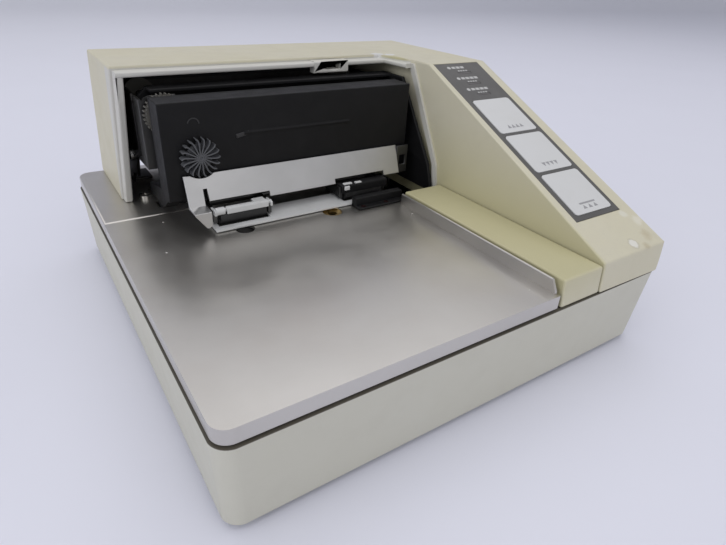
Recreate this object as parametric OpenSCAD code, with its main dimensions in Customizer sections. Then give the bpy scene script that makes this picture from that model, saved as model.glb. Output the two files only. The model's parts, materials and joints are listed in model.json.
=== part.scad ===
// Flat-bed slip printer: a low case with a steel document table, a print tower at the
// rear and a sloped key console on the right. Most modules are drawn from the case's
// front left corner at the seam, with X right, Y back and Z up, and at_seam() moves them
// so that the origin is under the middle of the case, on the surface it stands on.

/* [Case] */
// Overall width at the seam
case_w = 180; // [165:1:216]
// Overall depth at the seam
case_d = 190; // [182:1:228]
// Height of the lower case without its feet
base_h = 31; // [26:0.5:38]
// Wall of the plastic casings
case_wall = 2.5; // [2:0.1:3]
// Radius of the case's upright corners
case_corner_r = 6; // [3:0.5:8]
// How far the front leans in towards the floor
front_draft = 1.8; // [0:0.1:3]
// How far each side leans in towards the floor
side_draft = 1.2; // [0:0.1:3]
// Height of a rubber foot below the case
foot_h = 2.5; // [1.5:0.1:5]
// Diameter of a rubber foot
foot_d = 14; // [10:0.5:18]

/* [Document table] */
// Width of the steel table between the left edge and the fence
table_w = 119; // [99:0.2:122]
// Height of the table above the seam
table_lift = 6; // [4:0.2:8]
// Thickness of the sheet steel
sheet_t = 1; // [0.6:0.1:1.5]
// Gap between the plates' skirts and the case below
skirt_gap = 1; // [0.5:0.1:2]
// Place of the joint between the front and rear plates
plate_joint_y = 124.5; // [122:0.5:127]
// Gap between the front and rear plates
plate_gap = 0.8; // [0.4:0.1:1.5]
// Height of the fence above the table
fence_h = 5; // [3:0.5:7]
// Length of the fence
fence_len = 86; // [60:1:88]

/* [Tower and console] */
// Height of the tower above the seam
tower_h = 61; // [58:0.5:74]
// Left side of the tower, from the left side of the case
tower_x = 11.4; // [8:0.2:12]
// Front edge of the tower's skin at the table
tower_front = 147.5; // [146:0.5:150]
// How far the tower's front leans forward at the top
tower_lean = 7.5; // [4:0.5:9]
// How far the tower's left wall leans in at the top
tower_taper = 3.4; // [1:0.2:4]
// How far the rear wall leans in at the top
rear_lean = 4; // [1:0.5:5]
// Width of the key console
console_w = 38; // [36:0.5:44]
// Height of the console's upright front face
console_lip = 11.5; // [9:0.5:14]
// Place where the console's slope meets the tower top
slope_end = 109.6; // [105:0.2:112]
// How far the cover rim stands in front of the skin
rim_out = 5; // [3:0.5:6]
// Thickness of the cover rim
rim_t = 2; // [1.5:0.1:2.5]
// Height of the paper slot under the tower's rear wall
slot_h = 4; // [2:0.5:5]
// Length of the form shelf beside the fence
shelf_len = 90; // [70:1:92]

/* [Keys] */
// Width of a key
key_w = 21.8; // [18:0.2:22]
// Length of a key up the slope
key_len = 21.9; // [18:0.1:22]
// Spacing of the keys up the slope
key_pitch = 23.7; // [23:0.1:25]
// Thickness of a key
key_t = 1.6; // [1.2:0.1:2]
// Clearance round each key
key_clear = 0.2; // [0.15:0.05:0.4]
// Width of the panel overlay
panel_w = 26.8; // [25:0.1:28]
// Length of the panel overlay
panel_len = 98.8; // [96:0.2:99]

/* [Mechanism] */
// Thickness of the side frames
frame_t = 1.2; // [1:0.1:2]
// Diameter of the carriage shaft
shaft_d = 6; // [5:0.5:8]
// Running clearance of a shaft in its hole, on the radius
run_c = 0.05; // [0.02:0.01:0.1]
// Width of the ribbon cassette
cassette_w = 111.3; // [100:0.5:112]
// Height of the ribbon cassette
cassette_h = 37; // [30:0.5:38]
// Depth of the ribbon cassette
cassette_t = 12; // [10:0.5:13]
// Diameter of the ribbon knob
knob_d = 15; // [12:0.5:16]
// Radius of a feed roller
feed_r = 7; // [6:0.2:8.4]
// Radius of a pinch roller
pinch_r = 3.2; // [2.5:0.1:3.4]
// Module of the small gears
gear_m = 0.5; // [0.4:0.05:0.6]
// Teeth of the ribbon drive gear
drive_teeth = 30; // [26:1:32]
// Teeth of the gear on the knob's spindle
spindle_teeth = 26; // [22:1:28]

/* [Hidden] */
$fn = 48;

eps = 0.01;
seam_z = foot_h + base_h;
table_z = table_lift;
plate_under = table_lift - sheet_t;
console_x = case_w - console_w;
console_taper = 2;
shelf_x = table_w + 2;
slope_run = slope_end - 1.5;
slope_rise = tower_h - console_lip;
slope_deg = atan2(slope_rise, slope_run);
panel_cx = case_w - 20.4;
panel_s0 = 19.3;
overlay_t = 0.4;
key_proud = 0.25;
key_s = [32.65, 32.65 + key_pitch, 32.65 + 2 * key_pitch];

// Mechanism places, from the front left corner of the case at the seam
left_frame_x = 21;
right_frame_x = console_x - 5;
cassette_x = 23.2;
cassette_y = 110;
cassette_z = 16;
knob_x = cassette_x + 12.8;
knob_z = cassette_z + 17;
gear_y = cassette_y + cassette_t + 2;
gear_t = 2.6;
gear_gap = gear_m * (drive_teeth + spindle_teeth) / 2;
gear_dir = 117.5;
drive_x = knob_x + gear_gap * cos(gear_dir);
drive_z = knob_z + gear_gap * sin(gear_dir);
shaft_y = 158;
shaft_z = 22;
rail_y = 174;
rail_z = 36;
belt_y = 166;
belt_z = 46;
pulley_r = 5;
belt_t = 1.2;
belt_w = 5;
carriage_x = 31;
carriage_w = 26;
platen_y = 136;
platen_w = 7;
feed_y = 104;
feed_z = table_z + 0.3 - feed_r;
pinch_z = table_z + 0.6 + pinch_r;
roller_x = [49, 106];
roller_w = 20;
feed_slot_clear = 1;
pivot_y = 116;
pivot_z = 11;
feed_gear_teeth = 20;
pinion_teeth = 16;
motor_gap = gear_m * (feed_gear_teeth + pinion_teeth) / 2;
motor_dir = -50;
motor_y = feed_y + motor_gap * cos(motor_dir);
motor_z = feed_z + motor_gap * sin(motor_dir);
motor_r = 10;
motor_x = 7;
motor_len = 17;
feed_gear_x = 27;
gear_face = 4;
screw_d = 3;
serial_x = 60;
serial_z = -14;
jackscrew_gap = 47.04;
jack_x = 112;
inlet_x = 146;
inlet_r = 6.7;
rocker_y = 150;
rocker_z = -14;
rocker_w = 19;
rocker_h = 12;
rocker_tilt = 7;
foot_inset = 16;

module at_seam() {
    translate([-case_w / 2, -case_d / 2, seam_z]) children();
}

// Moves what is drawn on the flat to the console's slope: x as it is, y up the slope
module on_slope() {
    at_seam() translate([0, 1.5, console_lip]) rotate([slope_deg, 0, 0]) children();
}

module rounded_rect(w, d, r) {
    union() {
        translate([r, 0]) square([w - 2 * r, d]);
        translate([0, r]) square([w, d - 2 * r]);
        for (x = [r, w - r]) for (y = [r, d - r]) translate([x, y]) circle(r);
    }
}

// A cylinder along X from x, with its axis at y and z
module rod_x(x, y, z, len, r) {
    translate([x, y, z]) rotate([0, 90, 0]) cylinder(r = r, h = len);
}

// A cylinder along Y from y, with its axis at x and z
module rod_y(x, y, z, len, r) {
    translate([x, y, z]) rotate([-90, 0, 0]) cylinder(r = r, h = len);
}

// Extrudes a profile drawn in y and z along X
module along_x(x, len) {
    translate([x, 0, 0]) rotate([90, 0, 90]) linear_extrude(len) children();
}

// Extrudes a profile drawn in x and z along Y
module along_y(y, len) {
    translate([0, y + len, 0]) rotate([90, 0, 0]) linear_extrude(len) children();
}

// Spur gear outline with straight-sided teeth that leave backlash
module gear_shape(teeth) {
    pitch = 360 / teeth;
    root_r = gear_m * (teeth / 2 - 1.1);
    tip_r = gear_m * (teeth / 2 + 0.85);
    function spot(r, a) = [r * cos(a), r * sin(a)];
    polygon([for (i = [0:teeth - 1]) for (p = [[root_r, -0.27], [tip_r, -0.11],
        [tip_r, 0.11], [root_r, 0.27]]) spot(p[0], (i + p[1]) * pitch)]);
}

// Outer form of the case bottom, leaning in on all four sides, shrunk by inset
module base_form(inset, floor) {
    low = -base_h + floor;
    r = case_corner_r - inset / 2;
    difference() {
        drafted_block(inset, low);
        drafted_corner(inset, inset, 0, -side_draft, -front_draft, r);
        drafted_corner(case_w - inset, inset, 90, side_draft, -front_draft, r);
        drafted_corner(case_w - inset, case_d - inset, 180, side_draft, side_draft, r);
        drafted_corner(inset, case_d - inset, 270, -side_draft, side_draft, r);
    }
}

module drafted_block(inset, low) {
    intersection() {
        along_y(-eps, case_d + 2 * eps)
            polygon([[inset, 0.02], [inset + side_draft, low], [case_w - inset - side_draft, low],
                [case_w - inset, 0.02]]);
        along_x(-eps, case_w + 2 * eps)
            polygon([[inset, 0.02], [inset + front_draft, low], [case_d - inset - side_draft, low],
                [case_d - inset, 0.02]]);
    }
}

// What a drafted upright corner of the case loses to its rounding; out_x and out_y are how far
// the corner spreads on its way up
module drafted_corner(x, y, a, out_x, out_y, r) {
    up = [out_x, out_y, base_h] / norm([out_x, out_y, base_h]);
    tilt = -asin(up[1]);
    translate([x, y, 0]) rotate([tilt, asin(up[0] / cos(tilt)), 0])
        translate([0, 0, -1.2 * base_h]) linear_extrude(1.3 * base_h) rotate(a) difference() {
            translate([-2, -2]) square([r + 2, r + 2]);
            translate([r, r]) circle(r + 0.02);
        }
}

foot_spots = [for (x = [foot_inset, case_w - foot_inset])
    for (y = [foot_inset, case_d - foot_inset]) [x, y]];
boss_spots = [[30, 12], [case_w - 30, 12], [30, case_d - 24], [console_x + 6, case_d - 24]];
boss_top = -5;
table_posts = [[14, 60], [14, 86], [table_w - 12, 12], [60, 60]];
rear_posts = [[21.4, 145.4], [table_w - 8, case_d - 30]];

module lower_case() {
    color([0.67, 0.67, 0.63]) at_seam() difference() {
        union() {
            difference() {
                base_form(0, 0);
                base_form(case_wall, case_wall);
            }
            intersection() {
                base_form(0.5, 0.5);
                union() {
                    for (p = boss_spots) translate([p[0], p[1], -base_h + 1])
                        cylinder(d = 9, h = base_h - 1 + boss_top);
                    for (p = table_posts) translate([p[0], p[1], -base_h + 1])
                        cylinder(d = 7, h = base_h - 1);
                }
            }
            for (p = concat(table_posts, rear_posts)) translate([p[0], p[1], -base_h + 1])
                cylinder(d = 7, h = base_h - 1 + plate_under);
        }
        for (p = foot_spots) translate([p[0], p[1], -base_h - 1]) cylinder(d = foot_d, h = 1.8);
        for (p = boss_spots) {
            translate([p[0], p[1], -base_h - 1]) cylinder(d = 6.6, h = 3.2);
            translate([p[0], p[1], -base_h - 1]) cylinder(d = screw_d + 0.4, h = base_h + 2);
        }
        for (p = rear_posts) translate([p[0], p[1], -base_h + 6])
            cylinder(d = screw_d - 0.1, h = base_h + 10);
        // Rear openings for the connectors
        translate([serial_x, case_d, serial_z]) rotate([90, 0, 0]) {
            translate([-20, -6, -2]) cube([40, 12, 8]);
            for (s = [-1, 1]) translate([s * jackscrew_gap / 2, 0, -2]) cylinder(d = 5.6, h = 8);
        }
        translate([jack_x - 6.2, case_d - 6, serial_z - 5.7]) cube([12.4, 8, 11.4]);
        rod_y(inlet_x, case_d - 6, serial_z, 8, 8.1);
        rod_y(inlet_x + 16, case_d - 6, serial_z, 8, 1.6);
        rod_y(inlet_x + 16, case_d - 1.8, serial_z, 8, 3.2);
        // Opening for the power switch in the right side
        translate([case_w - 6, rocker_y - rocker_w / 2, rocker_z - rocker_h / 2])
            cube([8, rocker_w, rocker_h]);
    }
}

module rubber_feet() {
    color([0.12, 0.12, 0.12]) at_seam() for (p = foot_spots)
        translate([p[0], p[1], -base_h - foot_h]) union() {
            cylinder(d1 = foot_d - 2.4, d2 = foot_d - 0.6, h = 1, $fn = 96);
            translate([0, 0, 1]) cylinder(d = foot_d - 0.6, h = foot_h - 0.2);
        }
}

module case_screws() {
    color([0.6, 0.6, 0.62]) at_seam() for (p = boss_spots)
        translate([p[0], p[1], -base_h + 0.2]) union() {
            difference() {
                cylinder(d = 5.8, h = 2);
                for (a = [0, 90]) rotate(a) translate([-1.8, -0.4, -1]) cube([3.6, 0.8, 1.9]);
            }
            cylinder(d = screw_d, h = base_h + boss_top + 6);
        }
}

// A folded table plate from y0 to y1, with a skirt on the left and one on the front or rear
module table_plate(y0, y1, front_skirt, rear_skirt) {
    corner = 5;
    module slab(lift, cut) {
        front = front_skirt ? sheet_t : -1;
        rear = rear_skirt ? sheet_t : -1;
        translate([cut, y0 + front, lift]) linear_extrude(table_z) difference() {
            square([table_w - cut + 1, y1 - y0 - front - rear]);
            if (front_skirt) corner_cut(0, 0, 0, corner - sheet_t);
            if (rear_skirt) corner_cut(0, y1 - y0 - front - rear, 270, corner - sheet_t);
        }
    }
    intersection() {
        translate([0.6, y0, skirt_gap]) linear_extrude(table_z - skirt_gap)
            difference() {
                square([table_w - 0.6, y1 - y0]);
                if (front_skirt) corner_cut(0, 0, 0, corner);
                if (rear_skirt) corner_cut(0, y1 - y0, 270, corner);
            }
        difference() {
            translate([0.6, y0, skirt_gap]) cube([table_w, y1 - y0, table_z - skirt_gap]);
            slab(-sheet_t, 0.6 + sheet_t);
        }
    }
}

// What a corner at x, y loses to a rounding of radius r, turned by a
module corner_cut(x, y, a, r) {
    translate([x, y]) rotate(a) difference() {
        translate([-1, -1]) square([r + 1, r + 1]);
        translate([r, r]) circle(r);
    }
}

// Threaded post under a table plate, over a screw boss of the case
module screw_post(p) {
    translate([p[0], p[1], boss_top + 0.1]) cylinder(d = 7, h = plate_under - boss_top);
}

module screw_hole(p) {
    translate([p[0], p[1], boss_top - 1]) cylinder(d = screw_d + 0.1, h = 8.4);
}

module front_table_plate() {
    y0 = 0.6;
    y1 = plate_joint_y - plate_gap / 2;
    color([0.72, 0.71, 0.68]) at_seam() difference() {
        union() {
            table_plate(y0, y1, true, false);
            screw_post(boss_spots[0]);
            // Fence, bent up from the right edge with its front end cut on a slant
            along_x(table_w - sheet_t, sheet_t)
                polygon([[2.3, table_z - sheet_t], [2.3, table_z + 0.8], [4.6, table_z + fence_h],
                    [2.3 + fence_len, table_z + fence_h], [2.3 + fence_len, table_z - sheet_t]]);
        }
        // Locating holes and feed roller slots
        translate([47.1, 95.9, 0]) cylinder(d = 7.5, h = 10);
        translate([86.2, 95, 0]) cylinder(d = 8.6, h = 10);
        screw_hole(boss_spots[0]);
        for (x = roller_x) translate([x - roller_w / 2 - feed_slot_clear, feed_y - 5.5, 0])
            cube([roller_w + 2 * feed_slot_clear, 11, 10]);
    }
}

module rear_table_plate() {
    y0 = plate_joint_y + plate_gap / 2;
    color([0.72, 0.71, 0.68]) at_seam() difference() {
        union() {
            table_plate(y0, case_d - 1, false, true);
            screw_post(boss_spots[2]);
        }
        screw_hole(boss_spots[2]);
        translate([left_frame_x + 2.5, platen_y - platen_w / 2 - 0.3, 0])
            cube([table_w - left_frame_x - 5, platen_w + 0.6, 10]);
        for (p = rear_posts) translate([p[0], p[1], 0]) cylinder(d = screw_d + 0.4, h = 10);
        translate([26.8, 153.7, 0]) cylinder(d = 5, h = 10);
    }
}

module table_screws() {
    color([0.75, 0.75, 0.76]) at_seam() for (p = rear_posts)
        translate([p[0], p[1], 0]) union() {
            translate([0, 0, -8]) cylinder(d = screw_d - 0.2, h = 8 + table_z);
            translate([0, 0, table_z]) difference() {
                cylinder(d = 5.4, h = 1.4);
                for (a = [0, 90]) rotate(a) translate([-1.6, -0.35, 0.8])
                    cube([3.2, 0.7, 2]);
            }
        }
}

module form_shelf() {
    color([0.74, 0.72, 0.59]) at_seam() difference() {
        along_x(shelf_x, console_x - 0.4 - shelf_x)
            polygon([[0.4, 0.3], [1.4, table_z + 4.8], [shelf_len, table_z + 4.8], [shelf_len, 0.3]]);
        along_x(shelf_x + 2, console_x - shelf_x - 4.4)
            polygon([[3, -1], [3, table_z + 2.6], [shelf_len - 2, table_z + 2.6], [shelf_len - 2, -1]]);
    }
}

// Outer form of the tower, shrunk by inset; the cut reaches past the open front
module tower_form(inset, reach, low) {
    top = tower_h - inset;
    intersection() {
        along_y(-eps, case_d + 1)
            polygon([[tower_x + inset, low], [tower_x + inset + tower_taper, top],
                [case_w - inset - console_taper, top], [case_w - inset, low]]);
        along_x(-eps, case_w + 1)
            polygon([[tower_front - reach, low], [tower_front - tower_lean - reach, top],
                [case_d - 0.5 - rear_lean - inset, top], [case_d - 0.5 - inset, low]]);
    }
}

// Outer form of the console, shrunk by inset
module console_form(inset, low) {
    top = tower_h - inset;
    slope_drop = inset / cos(slope_deg);
    intersection() {
        along_y(-eps, case_d + 1)
            polygon([[console_x + inset, low], [console_x + inset + console_taper, top],
                [case_w - inset - console_taper, top], [case_w - inset, low]]);
        along_x(-eps, case_w + 1)
            polygon([[inset, low], [1.5 + inset, console_lip + 0.5 * inset - slope_drop],
                [slope_end + inset * tan(slope_deg / 2), top],
                [case_d - 0.5 - rear_lean - inset, top], [case_d - 0.5 - inset, low]]);
    }
}

// The rim that the front cover closes on: left post, top strip, corner and right strip
module cover_rim() {
    rim_in = 1.2;
    low_y = tower_front - rim_out;
    high_z = tower_h - 1.4;
    lean = tower_lean * (high_z - table_z) / (tower_h - table_z);
    intersection() {
        along_y(100, 60)
            polygon([[tower_x + rim_in, table_z + 0.3],
                [tower_x + rim_in + tower_taper, high_z],
                [tower_x + rim_in + tower_taper + rim_t + 1, high_z],
                [tower_x + rim_in + rim_t + 1, table_z + 0.3]]);
        along_x(0, 60)
            polygon([[low_y, table_z + 0.3], [low_y - lean, high_z], [low_y - lean + 9, high_z],
                [low_y + 9, table_z + 0.3]]);
    }
    translate([0, 0, high_z - rim_t]) linear_extrude(rim_t)
        polygon([[tower_x + tower_taper + rim_in, low_y - lean], [console_x - 4.5, low_y - lean],
            [console_x - 2.8, slope_end + 11], [console_x + console_taper + 0.5, slope_end + 11],
            [console_x + console_taper + 0.5, low_y + 6],
            [tower_x + tower_taper + rim_in, low_y + 6]]);
    // Right strip along the console wall, leaning forward down to a kink
    intersection() {
        along_x(console_x - 1.4, 6)
            polygon([[slope_end + 9.5, high_z], [94, 18.5], [shelf_len + 1, 4], [shelf_len + 4.5, 4], [97, 18.5],
                [slope_end + 13, high_z]]);
        along_y(60, 90)
            polygon([[console_x - 1.3, 0], [console_x - 1.3 + console_taper, high_z],
                [console_x + 5, high_z], [console_x + 5, 0]]);
    }
}

module upper_case() {
    panel_y0 = panel_s0 - 0.3;
    color([0.72, 0.70, 0.57]) union() {
        difference() {
            at_seam() difference() {
                union() {
                    difference() {
                        tower_form(0, 0, 0.2);
                        tower_form(case_wall, 30, -1);
                        // The tower stands on the table; its rear wall leaves the paper slot
                        translate([-1, -1, -1]) cube([console_x + 1, case_d + 2, table_z + 1.1]);
                        translate([tower_x + case_wall + 3, case_d - 12, -1])
                            cube([table_w - tower_x - case_wall - 5, 20, table_z + 1 + slot_h]);
                        translate([console_x + case_wall, -1, -1])
                            cube([console_w + 1, case_d + 2, tower_h + 5]);
                    }
                    difference() {
                        console_form(0, 0.2);
                        console_form(case_wall, -1);
                        // Way through for the cables
                        translate([console_x - 2, tower_front + 8, 12]) cube([8, 24, 30]);
                    }
                    // Joint lugs under the tower top at the console
                    translate([0, 0, tower_h - case_wall]) linear_extrude(case_wall)
                        polygon([[console_x - 5, tower_front - tower_lean],
                            [console_x + console_taper, slope_end + 12],
                            [console_x + console_taper + 1, slope_end + 12],
                            [console_x + console_taper + 1, case_d - 30],
                            [console_x - 5, case_d - 30]]);
                    cover_rim();
                    latch_socket();
                    // Pillars for the case screws
                    intersection() {
                        console_form(0.8, boss_top + 0.1);
                        for (i = [1, 3]) translate([boss_spots[i][0], boss_spots[i][1], boss_top + 0.1])
                            cylinder(d = 8, h = 22);
                    }
                }
                for (i = [1, 3]) translate([boss_spots[i][0], boss_spots[i][1], boss_top - 1])
                    cylinder(d = screw_d + 0.1, h = 9);
                // Rounded front corner of the console
                translate([0, 0, -1]) linear_extrude(tower_h) corner_cut(case_w, 0, 90, 3);
                // Notch of the latch socket
                translate([case_w / 2 + 12.7, 130, tower_h - 4.6]) cube([10.2, 11, 3.4]);
            }
            on_slope() {
                translate([panel_cx - panel_w / 2 - 0.1, panel_y0, -overlay_t])
                    cube([panel_w + 0.2, panel_len + 0.6, 5]);
                for (s = key_s) translate([panel_cx, s, -6]) linear_extrude(8) key_shape(key_clear);
                translate([panel_cx - 5.5, panel_s0 + 73, -6]) cube([11, 20, 8]);
            }
        }
    }
}

// White block in the top rim that takes the cover's latch
module latch_socket() {
    translate([case_w / 2 + 9.4, tower_front - tower_lean - rim_out + 0.1, tower_h - 6.1])
        cube([17.6, 4.4, 5.1]);
}

module mechanism_housing() {
    x0 = 18.2;
    x1 = console_x - 1.8;
    y0 = 137;
    high = tower_h - 3.3;
    color([0.12, 0.12, 0.13]) at_seam() union() {
        difference() {
            // Bulkhead across the tower, stepped at its lower left corner
            along_y(y0, 2)
                polygon([[x0, 27], [x0 + 2.3, 29.3], [x0 + 2.3, high - 10], [x0 + 8.3, high - 4],
                    [x1, high - 4], [x1, 27], [right_frame_x - 4, 27], [right_frame_x - 4, 30],
                    [28, 30], [28, 27]]);
        }
        // Right cheek, leaning with the cover rim
        along_x(x1 - 1.6, 1.6)
            polygon([[93, table_z + 0.6], [97, 18.5], [slope_end + 12, high - 4], [y0 + 2, high - 4],
                [y0 + 2, table_z + 0.6]]);
        // Ceiling strip under the tower top
        translate([x0 + 8.3, y0 - 6, high - 5.5]) cube([x1 - x0 - 8.3, 8, 1.5]);
    }
}

// A side frame seen from its left: notched sheet with holes for the shafts
module side_frame(x) {
    difference() {
        along_x(x, frame_t)
            polygon([[128, 24], [128, 51], [rail_y + 7, 51], [rail_y + 7, table_z],
                [166, table_z], [162, 12], [153, 13], [148, 23.5]]);
        // Slot for the bulkhead
        translate([x - 1, 136.7, 26.7]) cube([frame_t + 2, 2.6, 40]);
        rod_x(x - 1, shaft_y, shaft_z, frame_t + 2, shaft_d / 2 + 0.02);
        translate([x - 1, rail_y - 2.6, rail_z - 0.1]) cube([frame_t + 2, 5.2, 1.7]);
    }
}

module left_side_frame() {
    color([0.60, 0.60, 0.58]) at_seam() difference() {
        union() {
            side_frame(left_frame_x);
            // Front flange with a rounded top corner, which carries the ribbon gear
            difference() {
                translate([left_frame_x, 128, 24]) cube([14, frame_t, 28]);
                translate([0, 127, 0]) rotate([90, 0, 0]) mirror([0, 0, 1]) linear_extrude(4)
                    corner_cut(left_frame_x, 52, 270, 5);
            }
            // Foot screwed to the rear table
            translate([left_frame_x, 168, table_z]) cube([9, 12, 1.2]);
        }
        rod_y(drive_x, 126, drive_z, 6, 1.5);
    }
}

module right_side_frame() {
    color([0.60, 0.60, 0.58]) at_seam() side_frame(right_frame_x);
}

module platen_bar() {
    color([0.16, 0.16, 0.17]) at_seam() {
        translate([left_frame_x + 4, platen_y - platen_w / 2, 1])
            cube([table_w - left_frame_x - 8, platen_w, table_z - 0.9]);
    }
}

module carriage_shaft() {
    color([0.78, 0.78, 0.80]) at_seam()
        rod_x(left_frame_x - 1, shaft_y, shaft_z, right_frame_x - left_frame_x + frame_t + 2, shaft_d / 2);
}

module carriage_rail() {
    color([0.70, 0.70, 0.70]) at_seam()
        translate([left_frame_x - 0.5, rail_y - 2.5, rail_z])
            cube([right_frame_x - left_frame_x + frame_t + 1, 5, 1.5]);
}

module carriage_block() {
    color([0.10, 0.10, 0.11]) at_seam() translate([carriage_x, 0, 0]) difference() {
        union() {
            translate([0, shaft_y - 7, shaft_z - 7]) cube([carriage_w, 14, 13]);
            translate([3, shaft_y + 2, shaft_z + 5]) cube([carriage_w - 6, rail_y - shaft_y - 0.5, 6]);
            translate([3, rail_y - 3.5, shaft_z + 5]) cube([carriage_w - 6, 7, 13]);
            // Clamp that grips the belt's lower run
            translate([carriage_w / 2 - 5, belt_y - 3.5, shaft_z + 10])
                cube([10, 7, belt_z - shaft_z - 14]);
        }
        rod_x(-1, shaft_y, shaft_z, carriage_w + 2, shaft_d / 2 + run_c);
        translate([-1, rail_y - 2.7, rail_z - 0.2]) cube([carriage_w + 2, 20, 1.9]);
        translate([-1, belt_y - belt_w / 2 - 0.2, belt_z - pulley_r - belt_t - 0.5])
            cube([carriage_w + 2, belt_w + 0.4, belt_t + 0.6]);
    }
}

module print_head() {
    color([0.55, 0.56, 0.58]) at_seam() translate([carriage_x + 3, 0, 0]) union() {
        translate([0, 141, 16]) cube([20, shaft_y - 7 - 141, 18]);
        for (i = [0:3]) translate([1, 142, 18 + 4 * i]) cube([18, shaft_y - 7 - 142, 2.4]);
        along_x(7, 6) polygon([[134, 9.6], [138, 9.6], [147, 16], [147, 20], [141, 20]]);
    }
}

module carriage_motor() {
    color([0.50, 0.50, 0.52]) at_seam() union() {
        rod_y(pulley_spots[1], belt_y + 8.6, belt_z, 8.4, 7.6);
        translate([pulley_spots[1] - 12, belt_y + 8.6, belt_z - 5]) cube([19.6, 1, 10]);
    }
}

pulley_spots = [left_frame_x + 8, right_frame_x - 8];

module pulley(x, teeth) {
    at_seam() difference() {
        union() {
            rod_y(x, belt_y - belt_w / 2 - 1.6, belt_z, 1, pulley_r + 1.6);
            rod_y(x, belt_y - belt_w / 2 - 0.6, belt_z, belt_w + 1.2, pulley_r - 0.1);
            rod_y(x, belt_y + belt_w / 2 + 0.6, belt_z, 1, pulley_r + 1.6);
        }
        rod_y(x, belt_y - 6, belt_z, 12, 1.5 + run_c);
        for (i = [0:teeth - 1]) translate([x, belt_y, belt_z]) rotate([0, i * 360 / teeth, 0])
            translate([pulley_r - 0.5, -belt_w / 2 - 0.4, -0.4]) cube([1, belt_w + 0.8, 0.8]);
    }
}

module drive_pulley() {
    color([0.80, 0.80, 0.78]) pulley(pulley_spots[1], 12);
}

module idler_pulley() {
    color([0.80, 0.80, 0.78]) pulley(pulley_spots[0], 12);
}

// Pins that the two belt pulleys turn on, with their cross bracket
module idler_pin() {
    color([0.65, 0.65, 0.67]) at_seam() union() {
        for (x = pulley_spots) rod_y(x, belt_y - 5.5, belt_z, 13.9, 1.5);
        translate([left_frame_x + frame_t, belt_y + 7, belt_z - 4])
            cube([right_frame_x - left_frame_x - frame_t, 1.5, 8]);
    }
}

module belt_loop(r) {
    x0 = pulley_spots[0];
    x1 = pulley_spots[1];
    rod_y(x0, belt_y - belt_w / 2, belt_z, belt_w, r);
    rod_y(x1, belt_y - belt_w / 2, belt_z, belt_w, r);
    translate([x0, belt_y - belt_w / 2, belt_z - r]) cube([x1 - x0, belt_w, 2 * r]);
}

module timing_belt() {
    color([0.08, 0.08, 0.08]) at_seam() difference() {
        belt_loop(pulley_r + belt_t);
        union() {
            x0 = pulley_spots[0];
            x1 = pulley_spots[1];
            for (x = pulley_spots) rod_y(x, belt_y - belt_w, belt_z, 2 * belt_w, pulley_r + 0.2);
            translate([x0, belt_y - belt_w, belt_z - pulley_r - 0.2])
                cube([x1 - x0, 2 * belt_w, 2 * pulley_r + 0.4]);
        }
    }
}

module cassette_body() {
    wall = 1.5;
    x0 = cassette_x;
    color([0.12, 0.12, 0.13]) at_seam() difference() {
        union() {
            difference() {
                translate([x0, cassette_y, cassette_z]) cube([cassette_w, cassette_t - wall, cassette_h]);
                translate([x0 + wall, cassette_y + wall, cassette_z + wall])
                    cube([cassette_w - 2 * wall, cassette_t, cassette_h - 2 * wall]);
            }
            // Finger ridge on the front
            along_x(x0 + 31.4, 48) polygon([[cassette_y - 0.8, 39.4], [cassette_y - 0.8, 40],
                [cassette_y + 0.1, 40.8], [cassette_y + 0.1, 38]]);
            // Ribbon arms at both ends
            for (x = [x0, x0 + cassette_w - 6])
                along_x(x, 6) polygon([[cassette_y + 2, cassette_z + 0.1], [cassette_y + 12, 9.6],
                    [142, 9.6], [142, 14], [cassette_y + cassette_t + 1, cassette_z + 2],
                    [cassette_y + cassette_t - wall, cassette_z + 2],
                    [cassette_y + cassette_t - wall, cassette_z + 0.1]]);
        }
        rod_y(knob_x, cassette_y - 5, knob_z, 10, 2 + run_c);
    }
}

module cassette_lid() {
    wall = 1.5;
    color([0.14, 0.14, 0.15]) at_seam() difference() {
        translate([cassette_x, cassette_y + cassette_t - wall, cassette_z + 2.2])
            cube([cassette_w, wall, cassette_h - 2.2]);
        rod_y(knob_x, cassette_y, knob_z, 20, 2 + run_c);
    }
}

module ink_ribbon() {
    color([0.05, 0.05, 0.06]) at_seam() union() {
        // Stuffed ribbon inside the cassette
        translate([cassette_x + 26, cassette_y + 2, cassette_z + 2])
            cube([cassette_w - 32, cassette_t - 4, cassette_h - 8]);
    }
}

module ribbon_knob() {
    vanes = 18;
    color([0.22, 0.22, 0.24]) at_seam() union() {
        translate([knob_x, cassette_y - 0.3, knob_z]) rotate([90, 0, 0]) union() {
            cylinder(r = 3.4, h = 3.4);
            cylinder(r = knob_d / 2 - 1, h = 1);
            for (i = [0:vanes - 1]) rotate(i * 360 / vanes) translate([2.6, -0.35, 0])
                cube([knob_d / 2 - 2.6, 0.7, 3]);
        }
        rod_y(knob_x, cassette_y - 0.6, knob_z, cassette_t + 4.2, 2);
        // Feed roller inside the cassette
        rod_y(knob_x, cassette_y + 2, knob_z, cassette_t - 4, 6);
        translate([knob_x, gear_y, knob_z]) rotate([-90, 0, 0]) linear_extrude(gear_t)
            rotate(-gear_dir + 180 / spindle_teeth) gear_shape(spindle_teeth);
    }
}

module ribbon_drive_gear() {
    color([0.82, 0.81, 0.74]) at_seam() difference() {
        union() {
            translate([drive_x, gear_y, drive_z]) rotate([-90, 0, 0]) linear_extrude(gear_t)
                rotate(180 - gear_dir) gear_shape(drive_teeth);
            rod_y(drive_x, gear_y - 0.8, drive_z, 1, 3.4);
        }
        rod_y(drive_x, gear_y - 3, drive_z, 9, 1.5 + run_c);
    }
}

module gear_pin() {
    color([0.70, 0.70, 0.72]) at_seam() rod_y(drive_x, gear_y - 1.6, drive_z, 14, 1.5);
}

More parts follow.
